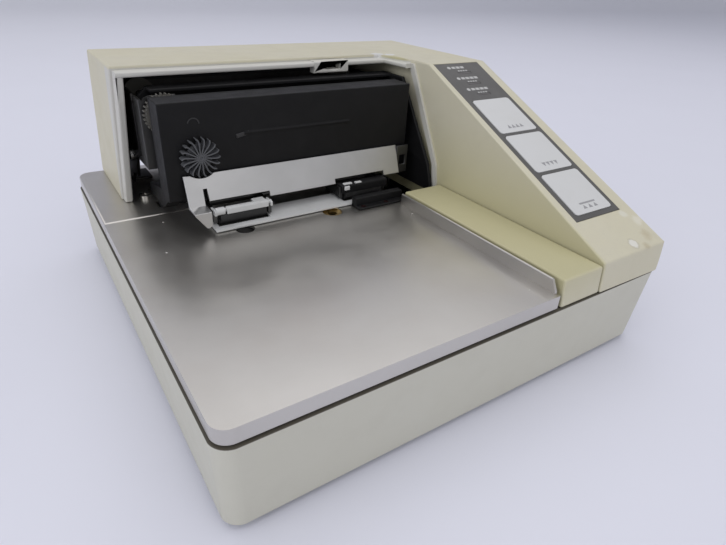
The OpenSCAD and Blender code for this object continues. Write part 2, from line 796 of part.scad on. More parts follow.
// Bright steel plate in front of the cassette that steers the form under the rollers
module pinch_plate() {
    x0 = 28.8;
    x1 = console_x - 14.2;
    module face(t) {
        polygon([[cassette_y - 0.6, 26], [cassette_y - 5, 14], [cassette_y - 5 - t, 14.2],
            [cassette_y - 0.6 - t, 26.3]]);
    }
    color([0.80, 0.80, 0.79]) at_seam() difference() {
        along_x(x0, x1 - x0) face(1);
        // Notches over the rollers and a slit beside the left tab
        for (x = roller_x) translate([x - roller_w / 2 - 2.8, cassette_y - 9, 10])
            cube([roller_w + 5.6, 9, 6.2]);
        translate([x0 + 6.4, cassette_y - 9, 10]) cube([1.6, 9, 11]);
        rod_y(knob_x, cassette_y - 8, knob_z, 10, knob_d / 2 + 0.8);
    }
    // Left ear that ends in a point over the table
    color([0.80, 0.80, 0.79]) at_seam() {
        along_y(feed_y - 6.4, 1) polygon([[x0, 14.2], [x0 + 6.4, 14.2], [x0 + 6.4, 9.6],
            [x0 + 5, 8.6], [x0 + 4, 8.6]]);
        translate([x0, feed_y - 6.4, 14.2]) cube([6.4, 7.8, 0.8]);
    }
}

module form_guide_lip() {
    color([0.80, 0.82, 0.86]) at_seam() difference() {
        along_x(36, table_w - 51) polygon([[97, table_z + 0.4], [97, table_z + 1],
            [cassette_y - 0.5, table_z + 1.7], [cassette_y - 0.5, table_z + 1.1]]);
        for (x = roller_x) translate([x - roller_w / 2 - 0.8, feed_y - 3.8, table_z])
            cube([roller_w + 1.6, 7.6, 8]);
    }
}

module roller_clip() {
    over = pinch_z + pinch_r + 0.4;
    color([0.82, 0.82, 0.82]) at_seam() for (x = roller_x)
        along_x(x - roller_w / 2 - 2.2, roller_w + 4.4) polygon([[feed_y - 4, over - 1.8],
            [feed_y - 4, over + 0.7], [feed_y + 0.8, over + 0.7], [feed_y + 0.8, over - 0.1],
            [feed_y - 3.2, over - 0.1], [feed_y - 3.2, over - 1.8]]);
}

module hinge_tab() {
    color([0.75, 0.75, 0.74]) at_seam() difference() {
        translate([console_x - 14.2, cassette_y - 3, 13]) cube([6.4, 1.2, 13]);
        translate([console_x - 12.4, cassette_y - 5, 17]) cube([3.2, 6, 4.5]);
    }
}

module sensor_block() {
    color([0.11, 0.11, 0.12]) at_seam() difference() {
        union() {
            translate([roller_x[1] - 9, 90, table_z]) cube([25, 6.7, 1.1]);
            translate([roller_x[1] - 9, 93.2, table_z]) cube([25, 3.5, 4.4]);
        }
        for (x = [0, 12]) translate([roller_x[1] - 6 + x, 91.6, table_z - 1]) cylinder(d = 2.2, h = 4);
    }
}

module sensor_lenses() {
    color([0.25, 0.05, 0.05]) at_seam() for (x = [0, 12])
        translate([roller_x[1] - 6 + x, 91.6, table_z]) cylinder(d = 2.1, h = 1.2);
}

module feed_shaft() {
    color([0.76, 0.76, 0.78]) at_seam() rod_x(feed_gear_x - 1, feed_y, feed_z, table_w - 28, 2);
}

module feed_rollers() {
    color([0.13, 0.13, 0.13]) at_seam() difference() {
        for (x = roller_x) rod_x(x - roller_w / 2, feed_y, feed_z, roller_w, feed_r);
        rod_x(10, feed_y, feed_z, table_w, 2);
    }
}

module feed_gear() {
    color([0.85, 0.84, 0.78]) at_seam() difference() {
        translate([feed_gear_x, feed_y, feed_z]) rotate([90, 0, 90]) linear_extrude(gear_face)
            rotate(motor_dir) gear_shape(feed_gear_teeth);
        rod_x(feed_gear_x - 1, feed_y, feed_z, 8, 2);
    }
}

module feed_bearings() {
    color([0.62, 0.62, 0.60]) at_seam() difference() {
        for (x = [33, roller_x[1] - roller_w / 2 - 6]) union() {
            translate([x, feed_y - 6, feed_z - 5]) cube([4, 12, 9]);
            translate([x, feed_y - 4, -base_h + case_wall]) cube([4, 8, feed_z + base_h - case_wall - 4]);
        }
        rod_x(10, feed_y, feed_z, table_w, 2 + run_c);
    }
}

module feed_motor() {
    color([0.55, 0.55, 0.57]) at_seam() union() {
        rod_x(motor_x, motor_y, motor_z, motor_len, motor_r);
        rod_x(motor_x + motor_len, motor_y, motor_z, 1.6, 3);
        translate([motor_x, motor_y - 8, -base_h + case_wall])
            cube([motor_len, 16, motor_z - 4 + base_h - case_wall]);
    }
}

module feed_pinion() {
    color([0.80, 0.65, 0.30]) at_seam() union() {
        translate([feed_gear_x, motor_y, motor_z]) rotate([90, 0, 90]) linear_extrude(gear_face)
            rotate(motor_dir + 180 + 180 / pinion_teeth) gear_shape(pinion_teeth);
        rod_x(feed_gear_x - 0.9, motor_y, motor_z, 1, 1);
    }
}

module pinch_arm() {
    over = pinch_z + pinch_r + 0.4;
    color([0.72, 0.72, 0.70]) at_seam() difference() {
        union() {
            rod_x(34, pivot_y, pivot_z, table_w - 30, 1.5);
            for (x = [roller_x[0] - roller_w / 2 - 2.2, roller_x[0] + roller_w / 2 + 0.6,
                roller_x[1] - roller_w / 2 - 2.2, roller_x[1] + roller_w / 2 + 0.6])
                along_x(x, 1.6) polygon([[feed_y - 2.2, pinch_z - 1.8], [feed_y - 2.2, over - 0.1],
                    [feed_y + 1, over - 0.1], [pivot_y + 2, pivot_z + 2.4], [pivot_y + 2, pivot_z - 2]]);
        }
        for (x = roller_x) rod_x(x - roller_w, feed_y, pinch_z, 2 * roller_w, 1 + run_c);
    }
}

module pinch_rollers() {
    color([0.10, 0.10, 0.10]) at_seam() for (x = roller_x) {
        rod_x(x - roller_w / 2 + 0.4, feed_y, pinch_z, roller_w - 0.8, pinch_r);
        rod_x(x - roller_w / 2 - 2, feed_y, pinch_z, roller_w + 4, 1);
    }
}

module release_solenoid() {
    color([0.45, 0.35, 0.20]) at_seam() difference() {
        translate([console_x + 6, 98, -24]) cube([18, 22, 16]);
        rod_y(console_x + 15, 90, -16, 24, 3 + run_c);
    }
}

module solenoid_plunger() {
    color([0.72, 0.72, 0.74]) at_seam() union() {
        rod_y(console_x + 15, 88, -16, 22, 3);
        rod_y(console_x + 15, 84, -16, 4.2, 1.5);
    }
}

module main_board() {
    color([0.12, 0.33, 0.18]) at_seam() difference() {
        translate([38, case_d - 62, -base_h + case_wall + 5]) cube([84, 56, 1.6]);
        translate([rear_posts[1][0], rear_posts[1][1], -base_h]) cylinder(d = 8, h = 20);
    }
}

module board_chips() {
    z = -base_h + case_wall + 6.6;
    color([0.10, 0.10, 0.10]) at_seam() {
        translate([40, case_d - 54, z]) cube([36, 14, 3.6]);
        translate([40, case_d - 34, z]) cube([20, 8, 3]);
        translate([66, case_d - 34, z]) cube([20, 8, 3]);
        for (x = [88, 100]) translate([x, case_d - 42, z]) cylinder(d = 8, h = 12);
    }
}

module serial_connector() {
    color([0.68, 0.68, 0.70]) at_seam() difference() {
        union() {
            translate([serial_x - 26.5, case_d - 4.8, serial_z - 6.2]) cube([53, 1.2, 12.4]);
            translate([serial_x - 19.4, case_d - 3.7, serial_z - 5.4]) cube([38.8, 2.6, 10.8]);
            translate([serial_x - 20, case_d - 16, serial_z - 5.4]) cube([40, 11.3, 10.8]);
        }
        translate([serial_x - 18.2, case_d - 4.8, serial_z - 4.2]) cube([36.4, 6, 8.4]);
        for (s = [-1, 1]) rod_y(serial_x + s * jackscrew_gap / 2, case_d - 12, serial_z, 10, 1.6);
    }
}

module connector_screws() {
    color([0.75, 0.75, 0.77]) at_seam() for (s = [-1, 1]) difference() {
        union() {
            rod_y(serial_x + s * jackscrew_gap / 2, case_d - 12, serial_z, 8.5, 1.55);
            translate([serial_x + s * jackscrew_gap / 2, case_d - 3.6, serial_z]) rotate([-90, 0, 0])
                cylinder(d = 5.2, h = 3, $fn = 6);
        }
        rod_y(serial_x + s * jackscrew_gap / 2, case_d - 8, serial_z, 10, 1.25);
    }
}

module drawer_jack() {
    color([0.13, 0.13, 0.14]) at_seam() difference() {
        translate([jack_x - 6, case_d - 18, serial_z - 5.5]) cube([12, 16.8, 11]);
        translate([jack_x - 4.9, case_d - 14, serial_z - 3.6]) cube([9.8, 14, 6.4]);
    }
}

module power_inlet() {
    color([0.13, 0.13, 0.14]) at_seam() difference() {
        union() {
            rod_y(inlet_x, case_d - 16, serial_z, 14.8, 8);
            rod_y(inlet_x, case_d - 16, serial_z, 15 - case_wall - side_draft, 9.6);
        }
        rod_y(inlet_x, case_d - 12, serial_z, 14, inlet_r);
    }
}

module ground_screw() {
    color([0.80, 0.68, 0.35]) at_seam() union() {
        rod_y(inlet_x + 16, case_d - 9, serial_z, 7.4, 1.5);
        difference() {
            rod_y(inlet_x + 16, case_d - 1.8, serial_z, 1.1, 2.8);
            translate([inlet_x + 13, case_d - 1.1, serial_z - 0.4]) cube([6, 2, 0.8]);
        }
    }
}

module power_switch_frame() {
    w = rocker_w - 0.4;
    h = rocker_h - 0.4;
    color([0.12, 0.12, 0.12]) at_seam() difference() {
        translate([case_w - 16, rocker_y - w / 2, rocker_z - h / 2]) cube([15, w, h]);
        translate([case_w - 9, rocker_y - w / 2 + 1.2, rocker_z - h / 2 + 1.2]) cube([10, w - 2.4, h - 2.4]);
        translate([case_w - 5, rocker_y, rocker_z - h]) cylinder(r = 1 + run_c, h = 2 * h);
    }
}

module power_rocker() {
    w = rocker_w - 4.2;
    h = rocker_h - 3.2;
    color([0.10, 0.10, 0.10]) at_seam() union() {
        translate([case_w - 5, rocker_y, rocker_z]) intersection() {
            translate([-1.6, -w / 2, -h / 2]) cube([6, w, h]);
            rotate(rocker_tilt) translate([-3, -w, -h]) cube([5.5, 2 * w, 2 * h]);
        }
        translate([case_w - 5, rocker_y, rocker_z - h / 2 - 0.9]) cylinder(r = 1, h = h + 1.8);
    }
}

// Outline of a key, grown by the clearance round it
module key_shape(grow) {
    translate([-key_w / 2 - grow, -key_len / 2 - grow])
        rounded_rect(key_w + 2 * grow, key_len + 2 * grow, 1.5 + grow);
}

module panel_overlay() {
    color([0.38, 0.38, 0.39]) on_slope() difference() {
        translate([panel_cx - panel_w / 2, panel_s0, -overlay_t + 0.02])
            cube([panel_w, panel_len, overlay_t]);
        for (s = key_s) translate([panel_cx, s, -1]) linear_extrude(3) key_shape(key_clear);
        for (s = [76.7, 84.4, 92.2]) translate([panel_cx - 4, panel_s0 + s - 0.7 - 0.7, -1])
            cube([8, 1.4, 3]);
    }
}

module key(i) {
    on_slope() union() {
        translate([panel_cx, key_s[i], key_proud - key_t]) linear_extrude(key_t) key_shape(0);
        translate([panel_cx - key_w / 2 + 1.4, key_s[i] - key_len / 2 + 1.4, -4.4])
            cube([key_w - 2.8, key_len - 2.8, 4]);
    }
}

module key_release() {
    color([0.78, 0.78, 0.79]) key(0);
}

module key_reverse() {
    color([0.78, 0.78, 0.79]) key(1);
}

module key_forward() {
    color([0.78, 0.78, 0.79]) key(2);
}

module indicator_lamps() {
    color([0.55, 0.56, 0.58]) on_slope() for (s = [76.7, 84.4, 92.2])
        translate([panel_cx - 3.9, panel_s0 + s - 0.6 - 0.7, -5]) cube([7.8, 1.2, 5]);
}

module panel_board() {
    color([0.12, 0.33, 0.18]) on_slope() translate([panel_cx - 13, panel_s0 + 1, -6.8])
        cube([26, panel_len - 4, 1.6]);
}

module head_cable_clip() {
    color([0.85, 0.85, 0.82]) at_seam()
        translate([carriage_x + 5, 143, 34.1]) cube([16, 7, 3]);
}

lower_case();
rubber_feet();
case_screws();
front_table_plate();
rear_table_plate();
table_screws();
form_shelf();
upper_case();
mechanism_housing();
left_side_frame();
right_side_frame();
platen_bar();
carriage_shaft();
carriage_rail();
carriage_block();
print_head();
carriage_motor();
drive_pulley();
idler_pulley();
idler_pin();
timing_belt();
cassette_body();
cassette_lid();
ink_ribbon();
ribbon_knob();
ribbon_drive_gear();
gear_pin();
pinch_plate();
form_guide_lip();
roller_clip();
hinge_tab();
sensor_block();
sensor_lenses();
feed_shaft();
feed_rollers();
feed_gear();
feed_bearings();
feed_motor();
feed_pinion();
pinch_arm();
pinch_rollers();
release_solenoid();
solenoid_plunger();
main_board();
board_chips();
serial_connector();
connector_screws();
drawer_jack();
power_inlet();
ground_screw();
power_switch_frame();
power_rocker();
panel_overlay();
key_forward();
key_reverse();
key_release();
indicator_lamps();
panel_board();
head_cable_clip();
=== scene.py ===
import json
import math
import bmesh
import bpy
from mathutils import Matrix, Vector


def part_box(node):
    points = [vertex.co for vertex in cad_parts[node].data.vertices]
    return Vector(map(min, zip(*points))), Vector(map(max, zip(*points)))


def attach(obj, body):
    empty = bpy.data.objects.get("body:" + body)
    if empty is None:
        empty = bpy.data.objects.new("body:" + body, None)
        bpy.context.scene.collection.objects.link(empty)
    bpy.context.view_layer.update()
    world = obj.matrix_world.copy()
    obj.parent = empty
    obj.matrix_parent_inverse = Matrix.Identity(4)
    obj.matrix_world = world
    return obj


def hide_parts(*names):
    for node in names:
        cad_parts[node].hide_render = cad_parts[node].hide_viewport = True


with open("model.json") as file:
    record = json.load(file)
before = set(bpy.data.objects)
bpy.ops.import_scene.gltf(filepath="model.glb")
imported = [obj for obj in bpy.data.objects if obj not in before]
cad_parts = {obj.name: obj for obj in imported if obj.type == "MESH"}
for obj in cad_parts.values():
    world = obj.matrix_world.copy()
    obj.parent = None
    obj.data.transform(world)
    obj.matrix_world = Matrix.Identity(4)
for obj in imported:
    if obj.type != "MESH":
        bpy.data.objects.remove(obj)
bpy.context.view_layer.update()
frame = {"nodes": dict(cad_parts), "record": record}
nodes = frame["nodes"]
bodyOf = {node: body for body, members in frame["record"]["behaviour"]["bodies"].items() for node in members}
slotOf = {part["node"]: part["material_slot"] for part in frame["record"]["subparts"]}
scene = bpy.context.scene

# Places are in millimetres from the case's front left corner, at the seam under the steel table
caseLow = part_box("lower_case")[0]
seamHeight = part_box("rear_table_plate")[1][2] - 0.006


def at(x, y, z):
    return Vector((caseLow[0] + x / 1000, caseLow[1] + y / 1000, seamHeight + z / 1000))


def mm(*sizes):
    return Vector([size / 1000 for size in sizes])


# Camera
lens = {"place": (-0.11016, -0.17889, 0.13110), "yaw": 34.76, "pitch": 30.25, "roll": 3.15, "focal": 26.0}


def makeCamera():
    yaw, pitch, roll = (math.radians(lens[turn]) for turn in ("yaw", "pitch", "roll"))
    ahead = Vector((math.sin(yaw) * math.cos(pitch), math.cos(yaw) * math.cos(pitch), -math.sin(pitch)))
    level = Vector((math.cos(yaw), -math.sin(yaw), 0))
    upright = level.cross(ahead)
    right = level * math.cos(roll) + upright * math.sin(roll)
    up = upright * math.cos(roll) - level * math.sin(roll)
    camera = bpy.data.objects.new("camera", bpy.data.cameras.new("camera"))
    camera.data.lens = lens["focal"]
    camera.data.clip_start = 0.01
    camera.matrix_world = Matrix((right, up, -ahead)).transposed().to_4x4()
    camera.location = lens["place"]
    scene.collection.objects.link(camera)
    scene.camera = camera


makeCamera()
print("camera ready")


# Shader nodes
def addNode(tree, kind, links=None, **settings):
    node = tree.nodes.new(kind)
    for name, value in settings.items():
        setattr(node, name, value)
    for socket, value in (links or {}).items():
        if isinstance(value, bpy.types.NodeSocket):
            tree.links.new(value, node.inputs[socket])
        else:
            node.inputs[socket].default_value = value
    return node


def startGroup(name, takes, gives):
    tree = bpy.data.node_groups.new(name, "ShaderNodeTree")
    kinds = {"colour": "NodeSocketColor", "value": "NodeSocketFloat", "vector": "NodeSocketVector"}
    for socket, kind in takes.items():
        tree.interface.new_socket(socket, in_out="INPUT", socket_type=kinds[kind])
    for socket, kind in gives.items():
        tree.interface.new_socket(socket, in_out="OUTPUT", socket_type=kinds[kind])
    return tree, tree.nodes.new("NodeGroupInput").outputs, tree.nodes.new("NodeGroupOutput").inputs


def combine(tree, operation, first, second, clamp=False):
    return addNode(tree, "ShaderNodeMath", {0: first, 1: second}, operation=operation, use_clamp=clamp).outputs[0]


def ramp(tree, value, low, high, lowTo=0.0, highTo=1.0):
    links = {"Value": value, "From Min": low, "From Max": high, "To Min": lowTo, "To Max": highTo}
    return addNode(tree, "ShaderNodeMapRange", links).outputs["Result"]


def times(tree, first, second, clamp=False):
    return combine(tree, "MULTIPLY", first, second, clamp)


def blendColour(tree, share, first, second):
    # The colour sockets of a mix node are its seventh and eighth inputs and its third output
    return addNode(tree, "ShaderNodeMix", {0: share, 6: first, 7: second}, data_type="RGBA").outputs[2]


def noise(tree, place, scale, detail=3.0, roughness=0.55, distortion=0.0):
    links = {"Vector": place, "Scale": scale, "Detail": detail, "Roughness": roughness, "Distortion": distortion}
    return addNode(tree, "ShaderNodeTexNoise", links).outputs["Fac"]


def makeAgeing():
    # Uneven age colour, grime on flats and a few dark specks on a moulded surface
    tree, given, result = startGroup("agedPlastic", {
        "Fresh": "colour", "Aged": "colour", "Grime": "colour", "Age": "value", "Dirt": "value", "Gloss": "value"},
        {"Colour": "colour", "Roughness": "value"})
    spot = addNode(tree, "ShaderNodeTexCoord")
    place = spot.outputs["Object"]
    upward = addNode(tree, "ShaderNodeSeparateXYZ", {0: spot.outputs["Normal"]}).outputs["Z"]
    cloud = noise(tree, place, 22.0, 4.0)
    age = times(tree, given["Age"], ramp(tree, cloud, 0.25, 0.75, 0.72, 1.28), True)
    colour = blendColour(tree, age, given["Fresh"], given["Aged"])
    film = ramp(tree, noise(tree, place, 75.0, 6.0, 0.65), 0.5, 0.78)
    settled = times(tree, film, ramp(tree, upward, -0.2, 0.9, 0.45, 1.0))
    colour = blendColour(tree, times(tree, settled, given["Dirt"], True), colour, given["Grime"])
    cells = addNode(tree, "ShaderNodeTexVoronoi", {"Vector": place, "Scale": 210.0, "Randomness": 1.0})
    speck = ramp(tree, cells.outputs["Distance"], 0.035, 0.06, 1.0, 0.0)
    few = ramp(tree, addNode(tree, "ShaderNodeSeparateColor", {0: cells.outputs["Color"]}).outputs[0], 0.9, 0.92)
    fleck = times(tree, times(tree, speck, few), given["Dirt"], True)
    colour = blendColour(tree, fleck, colour, (0.10, 0.09, 0.07, 1))
    tree.links.new(colour, result["Colour"])
    rough = ramp(tree, noise(tree, place, 140.0, 3.0), 0.3, 0.7, -0.05, 0.06)
    tree.links.new(combine(tree, "ADD", rough, given["Gloss"], True), result["Roughness"])
    return tree


def makeGrain():
    # Fine spark-eroded mould texture
    tree, given, result = startGroup("mouldGrain", {"Scale": "value", "Swell": "value"}, {"Height": "value"})
    place = addNode(tree, "ShaderNodeTexCoord").outputs["Object"]
    fine = noise(tree, place, given["Scale"], 4.0, 0.7)
    broad = noise(tree, place, 60.0, 1.0)
    tree.links.new(combine(tree, "ADD", fine, times(tree, broad, given["Swell"])), result["Height"])
    return tree


def makeSmudges():
    # Cloudy handling marks and tiny pits on bare sheet
    tree, given, result = startGroup("sheetSmudges", {
        "Bright": "colour", "Dull": "colour", "Stain": "colour", "Amount": "value", "Smooth": "value", "Matt": "value"},
        {"Colour": "colour", "Roughness": "value", "Marks": "value"})
    place = addNode(tree, "ShaderNodeTexCoord").outputs["Object"]
    haze = noise(tree, place, 17.0, 5.0, 0.6, 0.6)
    hazeMask = ramp(tree, haze, 0.32, 0.7)
    colour = blendColour(tree, times(tree, hazeMask, given["Amount"], True), given["Bright"], given["Dull"])
    warm = ramp(tree, noise(tree, place, 31.0, 2.0), 0.52, 0.8)
    colour = blendColour(tree, times(tree, warm, times(tree, given["Amount"], 0.5), True), colour, given["Stain"])
    cells = addNode(tree, "ShaderNodeTexVoronoi", {"Vector": place, "Scale": 95.0, "Randomness": 1.0})
    dot = ramp(tree, cells.outputs["Distance"], 0.03, 0.055, 1.0, 0.0)
    few = ramp(tree, addNode(tree, "ShaderNodeSeparateColor", {0: cells.outputs["Color"]}).outputs[1], 0.93, 0.95)
    dots = times(tree, dot, few)
    colour = blendColour(tree, times(tree, dots, 0.35), colour, (0.20, 0.19, 0.18, 1))
    tree.links.new(colour, result["Colour"])
    tree.links.new(dots, result["Marks"])
    spread = ramp(tree, noise(tree, place, 48.0, 4.0, 0.6), 0.3, 0.7)
    mixed = addNode(tree, "ShaderNodeMix", {0: spread, 2: given["Smooth"], 3: given["Matt"]}, data_type="FLOAT").outputs[0]
    tree.links.new(mixed, result["Roughness"])
    return tree


def makeBrushing():
    # Rolling lines left in sheet metal
    tree, given, result = startGroup("rollingLines", {"Along": "vector", "Scale": "value"}, {"Height": "value"})
    place = addNode(tree, "ShaderNodeTexCoord").outputs["Object"]
    drawn = addNode(tree, "ShaderNodeVectorMath", {0: place, 1: given["Along"]}, operation="MULTIPLY").outputs[0]
    tree.links.new(noise(tree, drawn, given["Scale"], 3.0, 0.6), result["Height"])
    return tree


def makeDust():
    # Pale dust on faces that look up
    tree, given, result = startGroup("settledDust",
        {"Colour": "colour", "Dust": "colour", "Amount": "value"}, {"Colour": "colour"})
    spot = addNode(tree, "ShaderNodeTexCoord")
    upward = addNode(tree, "ShaderNodeSeparateXYZ", {0: spot.outputs["Normal"]}).outputs["Z"]
    lying = ramp(tree, upward, 0.2, 0.95, 0.12, 1.0)
    cloud = ramp(tree, noise(tree, spot.outputs["Object"], 120.0, 6.0, 0.7), 0.42, 0.72)
    fine = ramp(tree, noise(tree, spot.outputs["Object"], 1500.0, 2.0), 0.56, 0.66)
    share = times(tree, combine(tree, "ADD", cloud, times(tree, fine, 0.7)), lying)
    share = times(tree, share, given["Amount"], True)
    tree.links.new(blendColour(tree, share, given["Colour"], given["Dust"]), result["Colour"])
    return tree


def makeSpot():
    # Soft-edged stain or chip round one place
    tree, given, result = startGroup("localMark",
        {"Centre": "vector", "Reach": "value", "Ragged": "value", "Edge": "value"}, {"Mask": "value"})
    place = addNode(tree, "ShaderNodeTexCoord").outputs["Object"]
    far = addNode(tree, "ShaderNodeVectorMath", {0: place, 1: given["Centre"]}, operation="DISTANCE").outputs["Value"]
    wobble = times(tree, combine(tree, "SUBTRACT", noise(tree, place, 420.0, 4.0, 0.7), 0.5), given["Ragged"])
    reach = combine(tree, "ADD", combine(tree, "DIVIDE", far, given["Reach"]), wobble)
    tree.links.new(ramp(tree, reach, combine(tree, "SUBTRACT", 1.0, given["Edge"]), 1.0, 1.0, 0.0), result["Mask"])
    return tree


effects = {
    "aged": makeAgeing(), "grain": makeGrain(), "smudge": makeSmudges(),
    "lines": makeBrushing(), "dust": makeDust(), "mark": makeSpot(),
}


def effect(tree, name, links):
    return addNode(tree, "ShaderNodeGroup", links, node_tree=effects[name]).outputs


def rgb(red, green, blue):
    return (red, green, blue, 1.0)


def taken(look, *names):
    # Socket names are the look's keys with a capital
    return {name.capitalize(): look[name] for name in names}


def objectPlace(tree):
    return addNode(tree, "ShaderNodeSeparateXYZ", {0: addNode(tree, "ShaderNodeTexCoord").outputs["Object"]}).outputs


def startMaterial(name):
    material = bpy.data.materials.new(name)
    material.use_nodes = True
    tree = material.node_tree
    shader = tree.nodes["Principled BSDF"]
    return material, tree, shader


def raiseSurface(tree, shader, height, depth):
    bump = addNode(tree, "ShaderNodeBump", {"Height": height, "Strength": 0.6, "Distance": depth})
    tree.links.new(bump.outputs["Normal"], shader.inputs["Normal"])


# Each moulded finish: fresh, aged and grimy colours, then how far each goes
mouldings = {
    "case_base": {
        "fresh": rgb(0.57, 0.565, 0.50), "aged": rgb(0.52, 0.50, 0.40), "grime": rgb(0.30, 0.28, 0.23),
        "age": 0.35, "dirt": 0.16, "gloss": 0.5, "grain": 1900.0, "depth": 0.00006},
    "case_top": {
        "fresh": rgb(0.61, 0.59, 0.50), "aged": rgb(0.53, 0.485, 0.30), "grime": rgb(0.30, 0.27, 0.18),
        "age": 0.40, "dirt": 0.16, "gloss": 0.48, "grain": 1900.0, "depth": 0.00006},
    "black_plastic": {
        "fresh": rgb(0.0042, 0.0042, 0.0048), "aged": rgb(0.007, 0.007, 0.0078), "grime": rgb(0.03, 0.03, 0.029),
        "age": 0.5, "dirt": 0.2, "gloss": 0.5, "grain": 2300.0, "depth": 0.00005, "shine": 0.2},
    "rubber": {
        "fresh": rgb(0.03, 0.03, 0.03), "aged": rgb(0.06, 0.058, 0.055), "grime": rgb(0.16, 0.15, 0.13),
        "age": 0.5, "dirt": 0.4, "gloss": 0.78, "grain": 1500.0, "depth": 0.00009},
    "platen_rubber": {
        "fresh": rgb(0.015, 0.015, 0.016), "aged": rgb(0.03, 0.03, 0.03), "grime": rgb(0.09, 0.09, 0.085),
        "age": 0.5, "dirt": 0.3, "gloss": 0.55, "grain": 1700.0, "depth": 0.00007},
    "pale_nylon": {
        "fresh": rgb(0.13, 0.126, 0.115), "aged": rgb(0.10, 0.095, 0.08), "grime": rgb(0.08, 0.075, 0.06),
        "age": 0.5, "dirt": 0.35, "gloss": 0.42, "grain": 2500.0, "depth": 0.00003},
    "white_plastic": {
        "fresh": rgb(0.62, 0.63, 0.64), "aged": rgb(0.50, 0.50, 0.48), "grime": rgb(0.20, 0.20, 0.19),
        "age": 0.4, "dirt": 0.3, "gloss": 0.4, "grain": 2500.0, "depth": 0.00003},
    "knob_plastic": {
        "fresh": rgb(0.072, 0.075, 0.083), "aged": rgb(0.10, 0.103, 0.11), "grime": rgb(0.15, 0.15, 0.15),
        "age": 0.5, "dirt": 0.3, "gloss": 0.45, "grain": 2600.0, "depth": 0.00003},
    "belt_rubber": {
        "fresh": rgb(0.014, 0.014, 0.014), "aged": rgb(0.025, 0.025, 0.025), "grime": rgb(0.10, 0.10, 0.09),
        "age": 0.5, "dirt": 0.3, "gloss": 0.7, "grain": 1400.0, "depth": 0.00008},
    "ribbon_ink": {
        "fresh": rgb(0.014, 0.012, 0.022), "aged": rgb(0.03, 0.026, 0.04), "grime": rgb(0.06, 0.05, 0.08),
        "age": 0.5, "dirt": 0.2, "gloss": 0.8, "grain": 4200.0, "depth": 0.00008},
    "lens_red": {
        "fresh": rgb(0.012, 0.004, 0.004), "aged": rgb(0.018, 0.006, 0.006), "grime": rgb(0.04, 0.03, 0.03),
        "age": 0.3, "dirt": 0.2, "gloss": 0.16, "grain": 900.0, "depth": 0.00001},
    "coil_wrap": {
        "fresh": rgb(0.30, 0.22, 0.06), "aged": rgb(0.22, 0.15, 0.04), "grime": rgb(0.08, 0.06, 0.03),
        "age": 0.5, "dirt": 0.3, "gloss": 0.5, "grain": 1600.0, "depth": 0.00008},
    "board_green": {
        "fresh": rgb(0.03, 0.12, 0.05), "aged": rgb(0.04, 0.10, 0.04), "grime": rgb(0.10, 0.12, 0.08),
        "age": 0.5, "dirt": 0.2, "gloss": 0.35, "grain": 900.0, "depth": 0.00004},
    "chip_black": {
        "fresh": rgb(0.02, 0.02, 0.021), "aged": rgb(0.03, 0.03, 0.031), "grime": rgb(0.08, 0.08, 0.075),
        "age": 0.5, "dirt": 0.2, "gloss": 0.55, "grain": 2600.0, "depth": 0.00005},
    "overlay_grey": {
        "fresh": rgb(0.068, 0.067, 0.065), "aged": rgb(0.08, 0.077, 0.072), "grime": rgb(0.2, 0.19, 0.17),
        "age": 0.5, "dirt": 0.12, "gloss": 0.42, "grain": 3600.0, "depth": 0.00003},
    "key_white": {
        "fresh": rgb(0.61, 0.62, 0.64), "aged": rgb(0.55, 0.55, 0.52), "grime": rgb(0.36, 0.34, 0.30),
        "age": 0.4, "dirt": 0.10, "gloss": 0.36, "grain": 3200.0, "depth": 0.00003},
    "lamp_grey": {
        "fresh": rgb(0.075, 0.070, 0.070), "aged": rgb(0.09, 0.085, 0.082), "grime": rgb(0.1, 0.1, 0.1),
        "age": 0.4, "dirt": 0.1, "gloss": 0.22, "grain": 900.0, "depth": 0.00001},
    "printGrey": {
        "fresh": rgb(0.27, 0.27, 0.28), "aged": rgb(0.33, 0.33, 0.34), "grime": rgb(0.4, 0.39, 0.37),
        "age": 0.4, "dirt": 0.1, "gloss": 0.5, "grain": 3000.0, "depth": 0.00002},
    "printPale": {
        "fresh": rgb(0.50, 0.50, 0.50), "aged": rgb(0.42, 0.42, 0.40), "grime": rgb(0.3, 0.29, 0.27),
        "age": 0.4, "dirt": 0.1, "gloss": 0.5, "grain": 3000.0, "depth": 0.00002},
}

# Local marks on the upper case: the place, how far it reaches, and its colour
caseMarks = [
    {"place": (137.5, 141.6, 61.0), "reach": 3.6, "colour": rgb(0.66, 0.66, 0.65), "share": 0.95, "edge": 0.25},
    {"place": (142.6, 138.2, 61.0), "reach": 3.0, "colour": rgb(0.66, 0.66, 0.65), "share": 0.9, "edge": 0.25},
    {"place": (163.5, 4.6, 13.4), "reach": 2.9, "colour": rgb(0.36, 0.33, 0.25), "share": 0.55, "edge": 0.35},
    {"place": (163.5, 4.6, 13.4), "reach": 2.3, "colour": rgb(0.70, 0.69, 0.64), "share": 0.9, "edge": 0.3},
    {"place": (174.0, 6.0, 14.2), "reach": 3.4, "colour": rgb(0.40, 0.33, 0.20), "share": 0.45, "edge": 0.7},
    {"place": (176.5, 12.5, 17.0), "reach": 3.0, "colour": rgb(0.66, 0.64, 0.55), "share": 0.7, "edge": 0.5},
    {"place": (172.5, 16.5, 19.0), "reach": 2.4, "colour": rgb(0.66, 0.65, 0.58), "share": 0.6, "edge": 0.5},
    {"place": (169.0, 2.4, 12.0), "reach": 2.2, "colour": rgb(0.38, 0.32, 0.20), "share": 0.45, "edge": 0.6},
]

